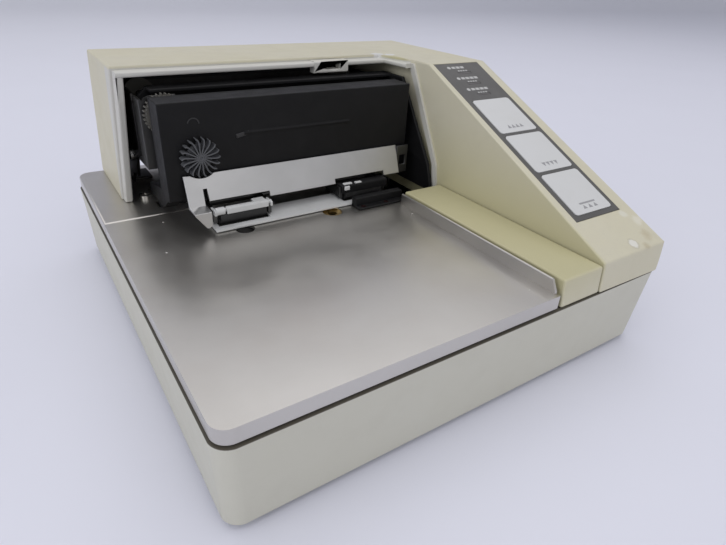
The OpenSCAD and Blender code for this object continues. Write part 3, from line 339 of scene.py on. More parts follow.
# Dust colour of the finishes that show it, and how much lies on each kind
dusty = {
    "colours": {
        "case_base": rgb(0.42, 0.41, 0.38), "case_top": rgb(0.42, 0.41, 0.38),
        "rubber": rgb(0.07, 0.07, 0.07), "black_plastic": rgb(0.07, 0.07, 0.07)},
    "moulded": 0.12, "bare": rgb(0.40, 0.39, 0.37), "metal": 0.035,
}


def mouldedMaterial(name):
    look = mouldings[name]
    material, tree, shader = startMaterial(name)
    aged = effect(tree, "aged", taken(look, "fresh", "aged", "grime", "age", "dirt", "gloss"))
    colour = aged["Colour"]
    if name in dusty["colours"]:
        colour = effect(tree, "dust", {"Colour": colour, "Dust": dusty["colours"][name], "Amount": dusty["moulded"]})["Colour"]
    tree.links.new(colour, shader.inputs["Base Color"])
    tree.links.new(aged["Roughness"], shader.inputs["Roughness"])
    shader.inputs["Specular IOR Level"].default_value = look.get("shine", 0.42)
    raiseSurface(tree, shader, effect(tree, "grain", {"Scale": look["grain"], "Swell": 0.4})["Height"], look["depth"])
    if name in ("overlay_grey", "key_white"):
        shader.inputs["Coat Weight"].default_value = 0.15
        shader.inputs["Coat Roughness"].default_value = 0.3
    return material, tree, shader, colour


# Where the upper case changes colour, the painted shade inside the tower included: each pair of places is the start and
# end of the change
caseAreas = {
    "pocketLeft": (110, 119), "pocketRight": (142.2, 143.4), "pocketBack": (133, 141), "pocketFront": (0.4, 2.4),
    "rimLean": 2.0 / 61, "rimFront": (91.5, 92.5), "rimBack": (146.9, 147.3), "rimRight": (141.7, 141.85), "rimTop": (59.9, 60.3),
    "shadeKink": 18.5, "shadeLean": 0.623, "shadeFront": (97.2, 97.6), "shadeBack": (187.6, 187.9),
    "wallFoot": 6, "wallLean": 3.4 / 55, "shadeLeft": (13.2, 13.4), "shadeRight": (140.6, 140.8), "shadeTop": (58.6, 58.9),
    "yellowed": rgb(0.47, 0.44, 0.255), "rim": rgb(0.56, 0.56, 0.545), "towerShade": rgb(0.012, 0.012, 0.012),
}


def masked(tree, value, axis, name, until=False):
    # Rises from nothing to full between the two named places along one axis, or falls if it is a last limit
    ends = [at(*[place if i == axis else 0 for i in range(3)])[axis] for place in caseAreas[name]]
    return ramp(tree, value, ends[0], ends[1], 1.0, 0.0) if until else ramp(tree, value, *ends)


def leant(tree, value, height, share):
    return combine(tree, "SUBTRACT", value, times(tree, height, share))


def caseTopMaterial():
    material, tree, shader, colour = mouldedMaterial("case_top")
    x, y, z = (objectPlace(tree)[axis] for axis in "XYZ")
    # The pocket beside the table has yellowed most
    pocket = times(tree, masked(tree, x, 0, "pocketLeft"), masked(tree, x, 0, "pocketRight", True))
    ahead = times(tree, masked(tree, y, 1, "pocketBack", True), masked(tree, y, 1, "pocketFront"))
    pocket = times(tree, pocket, ahead)
    colour = blendColour(tree, times(tree, pocket, 0.85), colour, caseAreas["yellowed"])
    # The clip-on cover's rim is a paler, greyer moulding
    across = leant(tree, x, combine(tree, "SUBTRACT", z, seamHeight), caseAreas["rimLean"])
    depthwise = times(tree, masked(tree, y, 1, "rimBack", True), masked(tree, y, 1, "rimFront"))
    rimBand = times(tree, depthwise, times(tree, masked(tree, across, 0, "rimRight", True), masked(tree, z, 2, "rimTop", True)))
    colour = blendColour(tree, times(tree, rimBand, 0.8), colour, caseAreas["rim"])
    # Inside the tower, painted shade: the walls are darkened where shade falls in the opening, kept off the cover's rim
    aboveKink = combine(tree, "MAXIMUM", combine(tree, "SUBTRACT", z, at(0, 0, caseAreas["shadeKink"])[2]), 0.0)
    behind = leant(tree, y, aboveKink, caseAreas["shadeLean"])
    inward = times(tree, masked(tree, behind, 1, "shadeFront"), masked(tree, y, 1, "shadeBack", True))
    fromLeft = leant(tree, x, combine(tree, "SUBTRACT", z, at(0, 0, caseAreas["wallFoot"])[2]), caseAreas["wallLean"])
    sideways = times(tree, masked(tree, fromLeft, 0, "shadeLeft"), masked(tree, across, 0, "shadeRight", True))
    inward = times(tree, times(tree, inward, sideways), masked(tree, z, 2, "shadeTop", True))
    colour = blendColour(tree, times(tree, inward, combine(tree, "SUBTRACT", 1.0, rimBand)), colour, caseAreas["towerShade"])
    for mark in caseMarks:
        links = {"Centre": at(*mark["place"]), "Reach": mark["reach"] / 1000, "Ragged": 1.2, "Edge": mark["edge"]}
        mask = effect(tree, "mark", links)["Mask"]
        colour = blendColour(tree, times(tree, mask, mark["share"]), colour, mark["colour"])
    tree.links.new(colour, shader.inputs["Base Color"])
    return material


# Painted shade in the seam under the table's turned-down edge: the heights it spans, its share and its dark colour
seamShade = {"heights": (-0.3, -0.05), "share": 0.93, "colour": rgb(0.07, 0.06, 0.045)}


def caseBaseMaterial():
    material, tree, shader, colour = mouldedMaterial("case_base")
    # Painted shade: the lower case is darkened in the seam under the table's turned-down edge
    start, end = (at(0, 0, height)[2] for height in seamShade["heights"])
    seam = ramp(tree, objectPlace(tree)["Z"], start, end)
    colour = blendColour(tree, times(tree, seam, seamShade["share"]), colour, seamShade["colour"])
    tree.links.new(colour, shader.inputs["Base Color"])
    return material


# Each metal finish: bright, dull and stained colours, then the spread of its roughness
metals = {
    "table_steel": {
        "bright": rgb(0.63, 0.61, 0.575), "dull": rgb(0.55, 0.53, 0.495), "stain": rgb(0.51, 0.45, 0.40),
        "amount": 0.6, "smooth": 0.29, "matt": 0.37, "along": (1.0, 0.06, 1.0), "lines": 2600.0, "depth": 0.000006},
    "guide_zinc": {
        "bright": rgb(0.49, 0.49, 0.49), "dull": rgb(0.34, 0.34, 0.34), "stain": rgb(0.38, 0.365, 0.34),
        "amount": 0.6, "smooth": 0.34, "matt": 0.46, "along": (0.08, 1.0, 1.0), "lines": 2200.0, "depth": 0.00002},
    "frame_steel": {
        "bright": rgb(0.10, 0.10, 0.10), "dull": rgb(0.065, 0.065, 0.065), "stain": rgb(0.12, 0.10, 0.08),
        "amount": 0.6, "smooth": 0.38, "matt": 0.5, "along": (0.2, 1.0, 1.0), "lines": 2200.0, "depth": 0.00002},
    "shaft_steel": {
        "bright": rgb(0.62, 0.62, 0.62), "dull": rgb(0.50, 0.50, 0.50), "stain": rgb(0.35, 0.32, 0.28),
        "amount": 0.5, "smooth": 0.16, "matt": 0.26, "along": (0.05, 1.0, 1.0), "lines": 2600.0, "depth": 0.00001},
    "screw_steel": {
        "bright": rgb(0.62, 0.61, 0.58), "dull": rgb(0.45, 0.44, 0.41), "stain": rgb(0.32, 0.27, 0.20),
        "amount": 0.6, "smooth": 0.2, "matt": 0.36, "along": (1.0, 1.0, 1.0), "lines": 2400.0, "depth": 0.00001},
    "head_aluminium": {
        "bright": rgb(0.52, 0.52, 0.53), "dull": rgb(0.40, 0.40, 0.41), "stain": rgb(0.25, 0.24, 0.23),
        "amount": 0.6, "smooth": 0.36, "matt": 0.5, "along": (1.0, 1.0, 1.0), "lines": 1900.0, "depth": 0.00003},
    "motor_steel": {
        "bright": rgb(0.42, 0.42, 0.42), "dull": rgb(0.30, 0.30, 0.30), "stain": rgb(0.22, 0.20, 0.18),
        "amount": 0.6, "smooth": 0.3, "matt": 0.44, "along": (1.0, 1.0, 0.1), "lines": 1900.0, "depth": 0.00002},
    "brass": {
        "bright": rgb(0.62, 0.45, 0.19), "dull": rgb(0.46, 0.33, 0.14), "stain": rgb(0.22, 0.15, 0.07),
        "amount": 0.6, "smooth": 0.22, "matt": 0.36, "along": (1.0, 1.0, 1.0), "lines": 2400.0, "depth": 0.00001},
    "connector_shell": {
        "bright": rgb(0.56, 0.56, 0.55), "dull": rgb(0.44, 0.44, 0.42), "stain": rgb(0.36, 0.33, 0.27),
        "amount": 0.5, "smooth": 0.24, "matt": 0.38, "along": (0.1, 1.0, 1.0), "lines": 2400.0, "depth": 0.00001},
}


def metalMaterial(name):
    look = metals[name]
    material, tree, shader = startMaterial(name)
    sheet = effect(tree, "smudge", taken(look, "bright", "dull", "stain", "amount", "smooth", "matt"))
    colour = effect(tree, "dust", {"Colour": sheet["Colour"], "Dust": dusty["bare"], "Amount": dusty["metal"]})["Colour"]
    tree.links.new(colour, shader.inputs["Base Color"])
    tree.links.new(sheet["Roughness"], shader.inputs["Roughness"])
    tree.links.new(ramp(tree, sheet["Marks"], 0.0, 1.0, 0.97, 0.8), shader.inputs["Metallic"])
    raiseSurface(tree, shader, effect(tree, "lines", {"Along": look["along"], "Scale": look["lines"]})["Height"], look["depth"])
    return material


caseMaterials = {"case_top": caseTopMaterial, "case_base": caseBaseMaterial}
finishes = {name: mouldedMaterial(name)[0] for name in mouldings if name not in caseMaterials}
finishes.update({name: makeMaterial() for name, makeMaterial in caseMaterials.items()})
finishes.update({name: metalMaterial(name) for name in metals})
print("materials ready", len(finishes))


# Making pieces
def addPiece(name, bm, finish, body, crease=32):
    mesh = bpy.data.meshes.new(name)
    bm.to_mesh(mesh)
    bm.free()
    mesh.shade_smooth()
    mesh.set_sharp_from_angle(angle=math.radians(crease))
    piece = bpy.data.objects.new(name, mesh)
    scene.collection.objects.link(piece)
    mesh.materials.append(finishes[finish])
    even = piece.modifiers.new("even shading", "WEIGHTED_NORMAL")
    even.keep_sharp = True
    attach(piece, body)
    return piece


def vertsOf(parts):
    return [part for part in parts if isinstance(part, bmesh.types.BMVert)]


def edgesOf(parts):
    return [part for part in parts if isinstance(part, bmesh.types.BMEdge)]


def bevel(bm, edges, width, segments, clamp=True):
    # The width is in millimetres
    return bmesh.ops.bevel(bm, geom=edges, offset=width / 1000, offset_type="OFFSET", segments=segments,
        profile=0.5, affect="EDGES", clamp_overlap=clamp, material=-1)


def spin(bm, parts, axis, turn, steps, centre=(0, 0, 0), merge=False):
    return bmesh.ops.spin(bm, geom=parts, cent=centre, axis=axis, dvec=(0, 0, 0), angle=turn,
        steps=steps, use_merge=merge, use_duplicate=False)["geom_last"]


def chain(bm, places, closed=False):
    # Vertices in a row and the edges between them
    verts = [bm.verts.new(place) for place in places]
    return verts, [bm.edges.new(pair) for pair in zip(verts, verts[1:] + verts[:1] if closed else verts[1:])]


def openSpan(face):
    longest = max(edge.calc_length() for edge in face.edges)
    return face.calc_area() / longest


# How a CAD shape is rounded: lengths in metres, shares of the width that are tried until the shape keeps its size
roundRules = {"merge": 2e-6, "flat": 0.6, "span": 2.4, "shares": (1.0, 0.6, 0.35, 0.0), "growth": 2e-5, "volume": 0.03}


def softEdges(bm, width, shortest, sharpest, anySpan=False):
    # Outer corners long enough, and between faces wide enough, to take a rounding
    chosen = []
    for edge in bm.edges:
        if len(edge.link_faces) != 2 or edge.calc_length() < shortest:
            continue
        turn = edge.calc_face_angle_signed(0.0)
        if turn > sharpest and (anySpan or min(openSpan(face) for face in edge.link_faces) > roundRules["span"] * width):
            chosen.append(edge)
    return chosen


def mergedCopy(node):
    bm = bmesh.new()
    bm.from_mesh(nodes[node].data)
    bmesh.ops.remove_doubles(bm, verts=bm.verts, dist=roundRules["merge"])
    bmesh.ops.dissolve_limit(bm, angle_limit=math.radians(roundRules["flat"]), verts=bm.verts, edges=bm.edges, delimit={"NORMAL"})
    return bm


def spanOf(bm):
    corners = [vert.co for vert in bm.verts]
    return [(min(c[i] for c in corners), max(c[i] for c in corners)) for i in range(3)]


def roundedNode(node, width, shortest, sharpest=28, segments=3, keep=None):
    # A CAD shape with its outer corners rounded, as a moulding or pressing has; narrower if it doesn't fit
    for share in roundRules["shares"]:
        bm = mergedCopy(node)
        before, volume = spanOf(bm), bm.calc_volume()
        if share:
            edges = softEdges(bm, width * share / 1000, shortest / 1000, math.radians(sharpest), keep is not None)
            edges = [edge for edge in edges if keep is None or keep(edge)]
            if edges:
                bevel(bm, edges, width * share, segments, False)
        after = spanOf(bm)
        grown = max(max(before[i][0] - after[i][0], after[i][1] - before[i][1]) for i in range(3))
        if grown < roundRules["growth"] and abs(bm.calc_volume() - volume) < roundRules["volume"] * abs(volume):
            break
        bm.free()
    piece = addPiece(node + "_soft", bm, slotOf[node], bodyOf[node])
    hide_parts(node)
    if share < 1.0:
        print("narrower rounding on", node, share)


# Rounding of each moulding and pressing, in millimetres: width, shortest edge
roundings = {
    "lower_case": (0.9, 8.0), "upper_case": (0.7, 6.0), "form_shelf": (0.8, 4.0),
    "cassette_body": (0.45, 4.0), "cassette_lid": (0.3, 4.0), "mechanism_housing": (0.4, 4.0),
    "pinch_plate": (0.25, 2.0), "form_guide_lip": (0.3, 4.0), "sensor_block": (0.4, 3.0),
    "left_side_frame": (0.25, 3.0), "right_side_frame": (0.25, 3.0), "hinge_tab": (0.25, 2.0), "pinch_arm": (0.25, 2.0),
    "key_forward": (0.22, 0.5), "key_reverse": (0.22, 0.5), "key_release": (0.22, 0.5),
    "panel_overlay": (0.12, 3.0), "indicator_lamps": (0.15, 1.0), "power_switch_frame": (0.5, 3.0), "power_rocker": (0.6, 3.0),
    "power_inlet": (0.4, 3.0), "drawer_jack": (0.4, 3.0), "serial_connector": (0.4, 3.0), "print_head": (0.3, 2.0),
    "carriage_block": (0.4, 3.0), "platen_bar": (0.5, 3.0), "carriage_rail": (0.2, 3.0), "head_cable_clip": (0.3, 2.0),
    "release_solenoid": (0.5, 3.0), "board_chips": (0.2, 2.0),
}
for node, (width, shortest) in roundings.items():
    roundedNode(node, width, shortest)

# The turned-down edge of the steel plates: millimetres, and how near an edge is to the top and to the outline
plateMake = {"width": 1.7, "shortest": 0.1, "segments": 5, "nearTop": 0.05, "nearSide": 1.6}


def roundPlate(node):
    spread = spanOf(mergedCopy(node))

    def atSide(end):
        gaps = [gap for i in (0, 1) for gap in (end[i] - spread[i][0], spread[i][1] - end[i])]
        return min(gaps) < plateMake["nearSide"] / 1000

    def outline(edge):
        # The top edge all round, its rounded corners included
        ends = [vert.co for vert in edge.verts]
        return all(spread[2][1] - end[2] < plateMake["nearTop"] / 1000 and atSide(end) for end in ends)

    roundedNode(node, plateMake["width"], plateMake["shortest"], 28, plateMake["segments"], outline)


for node in ("front_table_plate", "rear_table_plate"):
    roundPlate(node)
print("mouldings rounded")


# Ribbon knob: straight vanes with hooked tips round a hub
knobMake = {
    "outer": 7.5, "hub": 1.5, "root": 1.2, "vanes": 18, "steps": 10, "thick": 0.5, "hook": 8.0, "bend": 7,
    "depth": 3.4, "disc": 4.9, "dimple": 0.4, "shaft": 2.0, "round": 0.12,
}


def makeKnob():
    low, high = (Vector(corner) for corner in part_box("ribbon_knob"))
    middle = (low + high) / 2
    bm = bmesh.new()
    make = knobMake
    # One vane, hooked back near its tip, then copied round the hub
    rows = []
    for step in range(make["steps"] + 1):
        share = step / make["steps"]
        radius = make["root"] + (make["outer"] - make["root"]) * share
        turn = -math.radians(make["hook"] * share ** make["bend"])
        rows.append(Vector((math.sin(turn) * radius, 0, math.cos(turn) * radius)) / 1000)
    thick = bmesh.ops.extrude_edge_only(bm, edges=chain(bm, rows)[1])["geom"]
    bmesh.ops.translate(bm, vec=(0, make["depth"] / 1000, 0), verts=vertsOf(thick))
    bmesh.ops.recalc_face_normals(bm, faces=bm.faces)
    bmesh.ops.solidify(bm, geom=list(bm.faces), thickness=make["thick"] / 1000)
    bevel(bm, [edge for edge in bm.edges if len(edge.link_faces) == 2 and edge.calc_face_angle(0) > 1.2], make["round"], 2)
    blade = list(bm.verts) + list(bm.edges) + list(bm.faces)
    for count in range(1, make["vanes"]):
        twin = bmesh.ops.duplicate(bm, geom=blade)["geom"]
        turn = Matrix.Rotation(math.tau * count / make["vanes"], 3, "Y")
        bmesh.ops.rotate(bm, cent=(0, 0, 0), matrix=turn, verts=vertsOf(twin))
    # Hub, backing disc and shaft turned as one profile
    backY = (high[1] - low[1]) * 1000
    dimple, hub, shaft = make["dimple"], make["hub"], make["shaft"]
    outline = [
        (0.0, 0.35), (dimple, 0.45), (dimple + 0.25, 0.1), (hub - 0.3, 0.15), (hub, 0.45), (hub + 0.1, 1.9),
        (make["disc"], 2.2), (make["disc"], 3.1), (shaft, 3.2), (shaft, backY - 0.3), (shaft - 0.3, backY), (0.0, backY)]
    profile, turned = chain(bm, [mm(radius, depth, 0) for radius, depth in outline])
    spin(bm, profile + turned, (0, 1, 0), math.tau, 36, merge=True)
    bmesh.ops.remove_doubles(bm, verts=bm.verts, dist=roundRules["merge"])
    bmesh.ops.recalc_face_normals(bm, faces=bm.faces)
    bmesh.ops.translate(bm, vec=(middle[0], low[1], middle[2]), verts=bm.verts)
    piece = addPiece("ribbon_knob_vanes", bm, "knob_plastic", "knob")
    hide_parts("ribbon_knob")


makeKnob()


# Small parts shared by several pieces
def softBlock(bm, size, centre, width, segments=3, turn=None):
    part = bmesh.ops.create_cube(bm, size=1.0)["verts"]
    bmesh.ops.scale(bm, vec=mm(*size), verts=part)
    edges = {edge for vert in part for edge in vert.link_edges}
    made = bevel(bm, list(edges), width, segments)
    verts = list({vert for face in made["faces"] for vert in face.verts})
    if turn is not None:
        bmesh.ops.rotate(bm, cent=(0, 0, 0), matrix=turn, verts=verts)
    bmesh.ops.translate(bm, vec=centre, verts=verts)


def softPin(bm, radius, height, centre, axis="Z", width=0.12, sides=24):
    part = bmesh.ops.create_cone(bm, cap_ends=True, segments=sides,
        radius1=radius / 1000, radius2=radius / 1000, depth=height / 1000)["verts"]
    rims = {edge for vert in part for edge in vert.link_edges if edge.calc_face_angle(0) > 1.0}
    made = bevel(bm, list(rims), width, 2)
    verts = list({vert for face in made["faces"] for vert in face.verts} | {vert for vert in part if vert.is_valid})
    if axis != "Z":
        turn = Matrix.Rotation(math.radians(90), 3, {"X": "Y", "Y": "X"}[axis])
        bmesh.ops.rotate(bm, cent=(0, 0, 0), matrix=turn, verts=verts)
    bmesh.ops.translate(bm, vec=centre, verts=verts)


# Pressed pads of the zinc guide plate
guideMake = {
    "pads": [(43.0, 61.5), (97.0, 112.0)], "above": 2.3, "tall": 4.6, "proud": 0.75, "round": 0.7,
    "top": (0, 109.4, 26.0), "foot": (0, 105.0, 14.0),
}


def makeGuideDetails():
    # The guide's face runs from its top edge at the back down to its foot in front
    make = guideMake
    top, foot = at(*make["top"]), at(*make["foot"])
    rise = (top - foot).normalized()
    out = Vector((0, -rise[2], rise[1]))
    turn = Matrix((Vector((1, 0, 0)), -out, rise)).transposed()
    bm = bmesh.new()
    for left, right in make["pads"]:
        spot = Vector((at((left + right) / 2, 0, 0)[0], foot[1], foot[2]))
        spot += rise * (make["tall"] / 2 + make["above"]) / 1000 + out * 0.0001
        softBlock(bm, (right - left, 2 * make["proud"], make["tall"]), spot, make["round"], 4, turn)
    addPiece("guide_pressed_pads", bm, "guide_zinc", bodyOf["pinch_plate"])


makeGuideDetails()


# Bail over the left pinch roller and the cover of the right one. Blocks: size, place, rounding; pins: radius, length,
# place, rounding, sides. Each x place is counted from the middle of its roller
clipMake = {
    "leftMiddle": 49.0, "rightMiddle": 106.0,
    "bail": [
        ((17.5, 1.9, 0.9), (1.6, 101.2, 13.9), 0.3), ((17.5, 0.9, 2.3), (1.6, 100.5, 12.8), 0.3),
        ((5.0, 4.2, 1.0), (7.2, 102.9, 13.9), 0.3)],
    "pins": [(1.5, 3.6, (-9.6, 101.4, 13.0), 0.25, 24), (0.8, 24.0, (0, 101.5, 13.2), 0.1, 16)],
    "ends": [((1.0, 5.2, 2.0), (x, 102.6, 12.6), 0.25) for x in (-11.6, 11.6)],
    "cover": [((24.0, 4.8, 1.1), (0, 102.4, 13.8), 0.35), ((24.0, 1.0, 3.2), (0, 100.4, 12.4), 0.35)],
    "tabs": [
        ((2.6, 1.2, 1.8), (-9.6, 100.0, 13.2), 0.3), ((4.2, 1.6, 0.7), (-8.4, 101.6, 14.5), 0.2),
        ((3.2, 1.4, 0.7), (-3.2, 101.2, 14.5), 0.2)],
}


def makeClips():
    make = clipMake

    def blocks(bm, rows, middle):
        for size, (x, y, z), width in rows:
            softBlock(bm, size, at(middle + x, y, z), width)

    bm = bmesh.new()
    blocks(bm, make["bail"], make["leftMiddle"])
    for radius, length, (x, y, z), width, sides in make["pins"]:
        softPin(bm, radius, length, at(make["leftMiddle"] + x, y, z), "X", width, sides)
    blocks(bm, make["ends"], make["leftMiddle"])
    left = addPiece("roller_bail", bm, "white_plastic", "pinch")
    for name, rows, finish in (("roller_cover", "cover", "black_plastic"), ("roller_cover_tabs", "tabs", "white_plastic")):
        bm = bmesh.new()
        blocks(bm, make[rows], make["rightMiddle"])
        addPiece(name, bm, finish, "pinch")
    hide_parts("roller_clip")


makeClips()


# Cassette front: the long ridge ends in a wedge, with a small curved mark above the knob
cassetteMake = {
    "ridge": ((46.0, 0.8, 0.5), (79.0, 109.95, 39.8), 0.15),
    "wedge": ((5.5, 0.9, 1.6), (54.0, 109.95, 39.2), 0.3), "wedgeTurn": -12,
    "arc": (1.9, 2.3), "proud": 0.3, "arcTurn": -170, "arcPlace": (35.4, 110.05, 45.0),
}


def makeCassetteMarks():
    make = cassetteMake
    bm = bmesh.new()
    size, place, width = make["ridge"]
    softBlock(bm, size, at(*place), width)
    size, place, width = make["wedge"]
    softBlock(bm, size, at(*place), width, 3, Matrix.Rotation(math.radians(make["wedgeTurn"]), 3, "Y"))
    older = set(bm.verts)
    (inner, outer), proud = make["arc"], make["proud"]
    corners = ((inner, 0), (outer, 0), (outer, -proud), (inner, -proud))
    profile, ring = chain(bm, [mm(radius, depth, 0) for radius, depth in corners], True)
    last = spin(bm, profile + ring, (0, 1, 0), math.radians(make["arcTurn"]), 18)
    bmesh.ops.contextual_create(bm, geom=ring)
    bmesh.ops.contextual_create(bm, geom=edgesOf(last))
    arc = [vert for vert in bm.verts if vert not in older]
    bmesh.ops.recalc_face_normals(bm, faces=list({face for vert in arc for face in vert.link_faces}))
    bmesh.ops.translate(bm, vec=at(*make["arcPlace"]), verts=arc)
    addPiece("cassette_marks", bm, "chip_black", "printer")


makeCassetteMarks()


# Panel marks stand on the slope; s runs up it from the front
panelMake = {
    "middle": 159.6, "slope": 24.6, "start": (0, 1.5, 11.5), "print": 0.03, "keyProud": 0.27, "overlayProud": 0.02,
    "arrows": (-3.6, -1.2, 1.2, 3.6), "forwardAt": 72.6, "reverseAt": 48.9,
    "releaseBar": 26.4, "releaseAt": 24.6, "releaseArrows": (-3.2, 0.0, 3.2), "lampRows": (114.9, 106.9, 98.9),
}


def panelTurn():
    lean = math.radians(panelMake["slope"])
    along = Vector((0, math.cos(lean), math.sin(lean)))
    out = Vector((0, -math.sin(lean), math.cos(lean)))
    return Matrix.Translation(at(*panelMake["start"])) @ Matrix((Vector((1, 0, 0)), along, out)).transposed().to_4x4()


def printShape(bm, corners, x, s, lift):
    # A flat printed shape with real thickness, from its corners in millimetres
    face = bm.faces.new([bm.verts.new(mm(x + across, s + up, lift)) for across, up in corners])
    raised = bmesh.ops.extrude_face_region(bm, geom=[face])["geom"]
    bmesh.ops.translate(bm, vec=mm(0, 0, panelMake["print"]), verts=vertsOf(raised))


def disc(radius, count=20):
    return [(radius * math.cos(math.tau * i / count), radius * math.sin(math.tau * i / count)) for i in range(count)]


def bar(wide, tall):
    return [(-wide / 2, -tall / 2), (wide / 2, -tall / 2), (wide / 2, tall / 2), (-wide / 2, tall / 2)]


def finishPrint(name, bm, finish, body):
    bmesh.ops.recalc_face_normals(bm, faces=bm.faces)
    bmesh.ops.transform(bm, matrix=panelTurn(), verts=bm.verts)
    addPiece(name, bm, finish, body)


def makePanelMarks():
    make, middle, proud = panelMake, panelMake["middle"], panelMake["keyProud"]
    # Keys: arrows and bars in place of words, near each key's lower edge
    arrowUp, arrowDown = [(-1.0, -1.0), (1.0, -1.0), (0, 1.1)], [(-1.0, 1.0), (0, -1.1), (1.0, 1.0)]
    for way, arrow, s in (("forward", arrowUp, make["forwardAt"]), ("reverse", arrowDown, make["reverseAt"])):
        bm = bmesh.new()
        for shift in make["arrows"]:
            printShape(bm, arrow, middle + shift, s, proud)
        finishPrint("mark_" + way, bm, "printGrey", bodyOf["key_" + way])
    bm = bmesh.new()
    printShape(bm, bar(9.2, 0.75), middle, make["releaseBar"], proud)
    for shift in make["releaseArrows"]:
        printShape(bm, [(-1.1, -0.9), (1.1, -0.9), (0, 0.9)], middle + shift, make["releaseAt"], proud)
    finishPrint("mark_release", bm, "printGrey", bodyOf["key_release"])
    # Lamp rows: one plain sign each, with short bars for captions
    bm = bmesh.new()
    lift = make["overlayProud"]
    for row, s in enumerate(make["lampRows"]):
        printShape(bm, disc(0.95), middle - 6.6, s, lift)
        for step in range(3 + (row + 1) // 2):
            printShape(bm, bar(2.0, 1.5), middle - 3.9 + 2.6 * step, s, lift)
        for step in range(4):
            printShape(bm, bar(0.9, 0.8), middle - 2.4 + 1.5 * step, s - 2.5, lift)
    finishPrint("marks_lamps", bm, "printPale", "printer")


makePanelMarks()
print("panel marked")


# On the table: the bush in the locating hole and four small weld dimples
tableMake = {
    "bush": [(2.0, 5.2), (3.2, 5.2), (4.15, 5.6), (4.15, 4.8), (2.0, 4.0)], "bushPlace": (86.2, 95, 0),
    "dimples": ((15.2, 90.7), (21.1, 116.6), (115.8, 77.3), (112.7, 8.5)), "dimple": 0.42, "flatness": 0.35, "top": 6.02,
}


def makeTableDetails():
    make = tableMake
    bm = bmesh.new()
    profile, turned = chain(bm, [mm(radius, 0, height) for radius, height in make["bush"]], True)
    spin(bm, profile + turned, (0, 0, 1), math.tau, 32, merge=True)
    bmesh.ops.recalc_face_normals(bm, faces=bm.faces)
    bmesh.ops.translate(bm, vec=at(*make["bushPlace"]), verts=bm.verts)
    addPiece("locating_bush", bm, "brass", "printer")
    bm = bmesh.new()
    for x, y in make["dimples"]:
        dot = bmesh.ops.create_icosphere(bm, subdivisions=2, radius=make["dimple"] / 1000)["verts"]
        bmesh.ops.scale(bm, vec=(1, 1, make["flatness"]), verts=dot)
        bmesh.ops.translate(bm, vec=at(x, y, make["top"]), verts=dot)
    addPiece("weld_dimples", bm, "screw_steel", "printer")


makeTableDetails()


# Contacts in the serial socket on the back, in millimetres
socketMake = {
    "insert": (36.5, 2.0, 7.4), "insertBack": 5.5, "round": 0.8, "rows": ((1.42, 13), (-1.42, 12)),
    "pitch": 2.76, "pin": 0.5, "pinLong": 4.0, "pinBack": 3.0,
}


def makeSockets():
    make = socketMake
    low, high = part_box("serial_connector")
    middleX, middleZ = (low[0] + high[0]) / 2, (low[2] + high[2]) / 2
    bm = bmesh.new()
    softBlock(bm, make["insert"], Vector((middleX, high[1] - make["insertBack"] / 1000, middleZ)), make["round"])
    addPiece("serial_insert", bm, "black_plastic", "printer")
    bm = bmesh.new()
    for row, count in make["rows"]:
        for pin in range(count):
            x = middleX + (pin - (count - 1) / 2) * make["pitch"] / 1000
            spot = Vector((x, high[1] - make["pinBack"] / 1000, middleZ + row / 1000))
            softPin(bm, make["pin"], make["pinLong"], spot, "Y", 0.2, 10)
    addPiece("serial_pins", bm, "brass", "printer")


makeSockets()
print("details made")

# Remaining CAD nodes keep their shapes and take a finish
for node, piece in nodes.items():
    piece.data.materials.clear()
    piece.data.materials.append(finishes[slotOf[node]])

# Floor and backdrop sweep
stageMake = {"half": 6.0, "front": -3.0, "back": 1.5, "bend": 0.9, "rise": 3.0}


def stageMaterial():
    material, tree, shader = startMaterial("paleBackdrop")
    place = addNode(tree, "ShaderNodeTexCoord").outputs["Object"]
    along = addNode(tree, "ShaderNodeSeparateXYZ", {0: place}).outputs["Y"]
    # Painted shade: the sweep's colour darkens further back, as if less light reached it
    shade = ramp(tree, along, 0.3, 2.2)
    colour = blendColour(tree, shade, rgb(0.715, 0.725, 0.81), rgb(0.66, 0.67, 0.72))
    cloth = noise(tree, place, 9.0, 3.0)
    colour = blendColour(tree, ramp(tree, cloth, 0.3, 0.7, 0.0, 0.06), colour, rgb(0.58, 0.58, 0.66))
    tree.links.new(colour, shader.inputs["Base Color"])
    shader.inputs["Roughness"].default_value = 0.75
    shader.inputs["Specular IOR Level"].default_value = 0.2
    return material


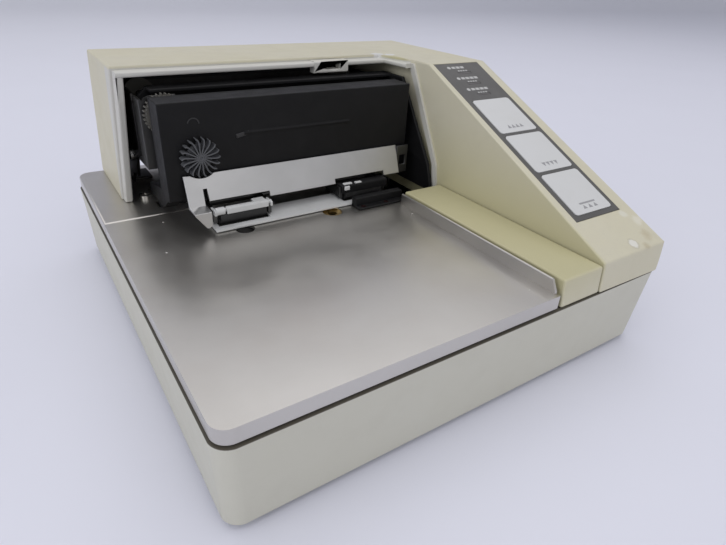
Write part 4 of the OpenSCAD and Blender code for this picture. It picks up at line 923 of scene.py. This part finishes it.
def makeStage():
    make = stageMake
    bm = bmesh.new()
    strip = chain(bm, [(side * make["half"], make["front"], 0) for side in (-1, 1)])[1]

    def onwards(edges, shift):
        made = bmesh.ops.extrude_edge_only(bm, edges=edges)["geom"]
        bmesh.ops.translate(bm, vec=shift, verts=vertsOf(made))
        return edgesOf(made)

    edge = onwards(strip, (0, make["back"] - make["front"], 0))
    verts = list({vert for one in edge for vert in one.verts})
    last = spin(bm, verts + edge, (1, 0, 0), math.radians(90), 20, (0, make["back"], make["bend"]))
    onwards(edgesOf(last), (0, 0, make["rise"]))
    bmesh.ops.recalc_face_normals(bm, faces=bm.faces)
    if min(bm.faces, key=lambda face: face.calc_center_median()[1]).normal[2] < 0:
        bmesh.ops.reverse_faces(bm, faces=bm.faces)
    mesh = bpy.data.meshes.new("backdrop")
    bm.to_mesh(mesh)
    bm.free()
    mesh.shade_smooth()
    mesh.materials.append(stageMaterial())
    sweep = bpy.data.objects.new("backdrop", mesh)
    scene.collection.objects.link(sweep)


makeStage()

# Soft light as in a white tent
lights = {
    "above": {"place": (0.05, 0.25, 1.3), "aim": (0, 0.05, 0), "size": 2.2, "power": 10.5, "colour": (1.0, 0.985, 0.955)},
    "leftSide": {"place": (-1.5, -0.2, 0.7), "aim": (0, 0, 0.05), "size": 1.4, "power": 6.5, "colour": (0.97, 0.98, 1.0)},
    "front": {"place": (0.1, -1.6, 0.9), "aim": (0, 0, 0.03), "size": 1.4, "power": 4.2, "colour": (1.0, 0.98, 0.94)},
}
tent = {"colour": (0.885, 0.89, 0.955, 1), "strength": 0.60}


def makeLights():
    for name, make in lights.items():
        lamp = bpy.data.lights.new(name, "AREA")
        lamp.size, lamp.energy, lamp.color = make["size"], make["power"], make["colour"]
        holder = bpy.data.objects.new(name, lamp)
        holder.location = make["place"]
        holder.rotation_euler = (Vector(make["aim"]) - Vector(make["place"])).to_track_quat("-Z", "Y").to_euler()
        scene.collection.objects.link(holder)
    world = bpy.data.worlds.new("tent")
    scene.world = world
    world.use_nodes = True
    background = world.node_tree.nodes["Background"]
    background.inputs["Color"].default_value, background.inputs["Strength"].default_value = tent["colour"], tent["strength"]
    scene.view_settings.view_transform = "Standard"


makeLights()
print("stage and light ready")
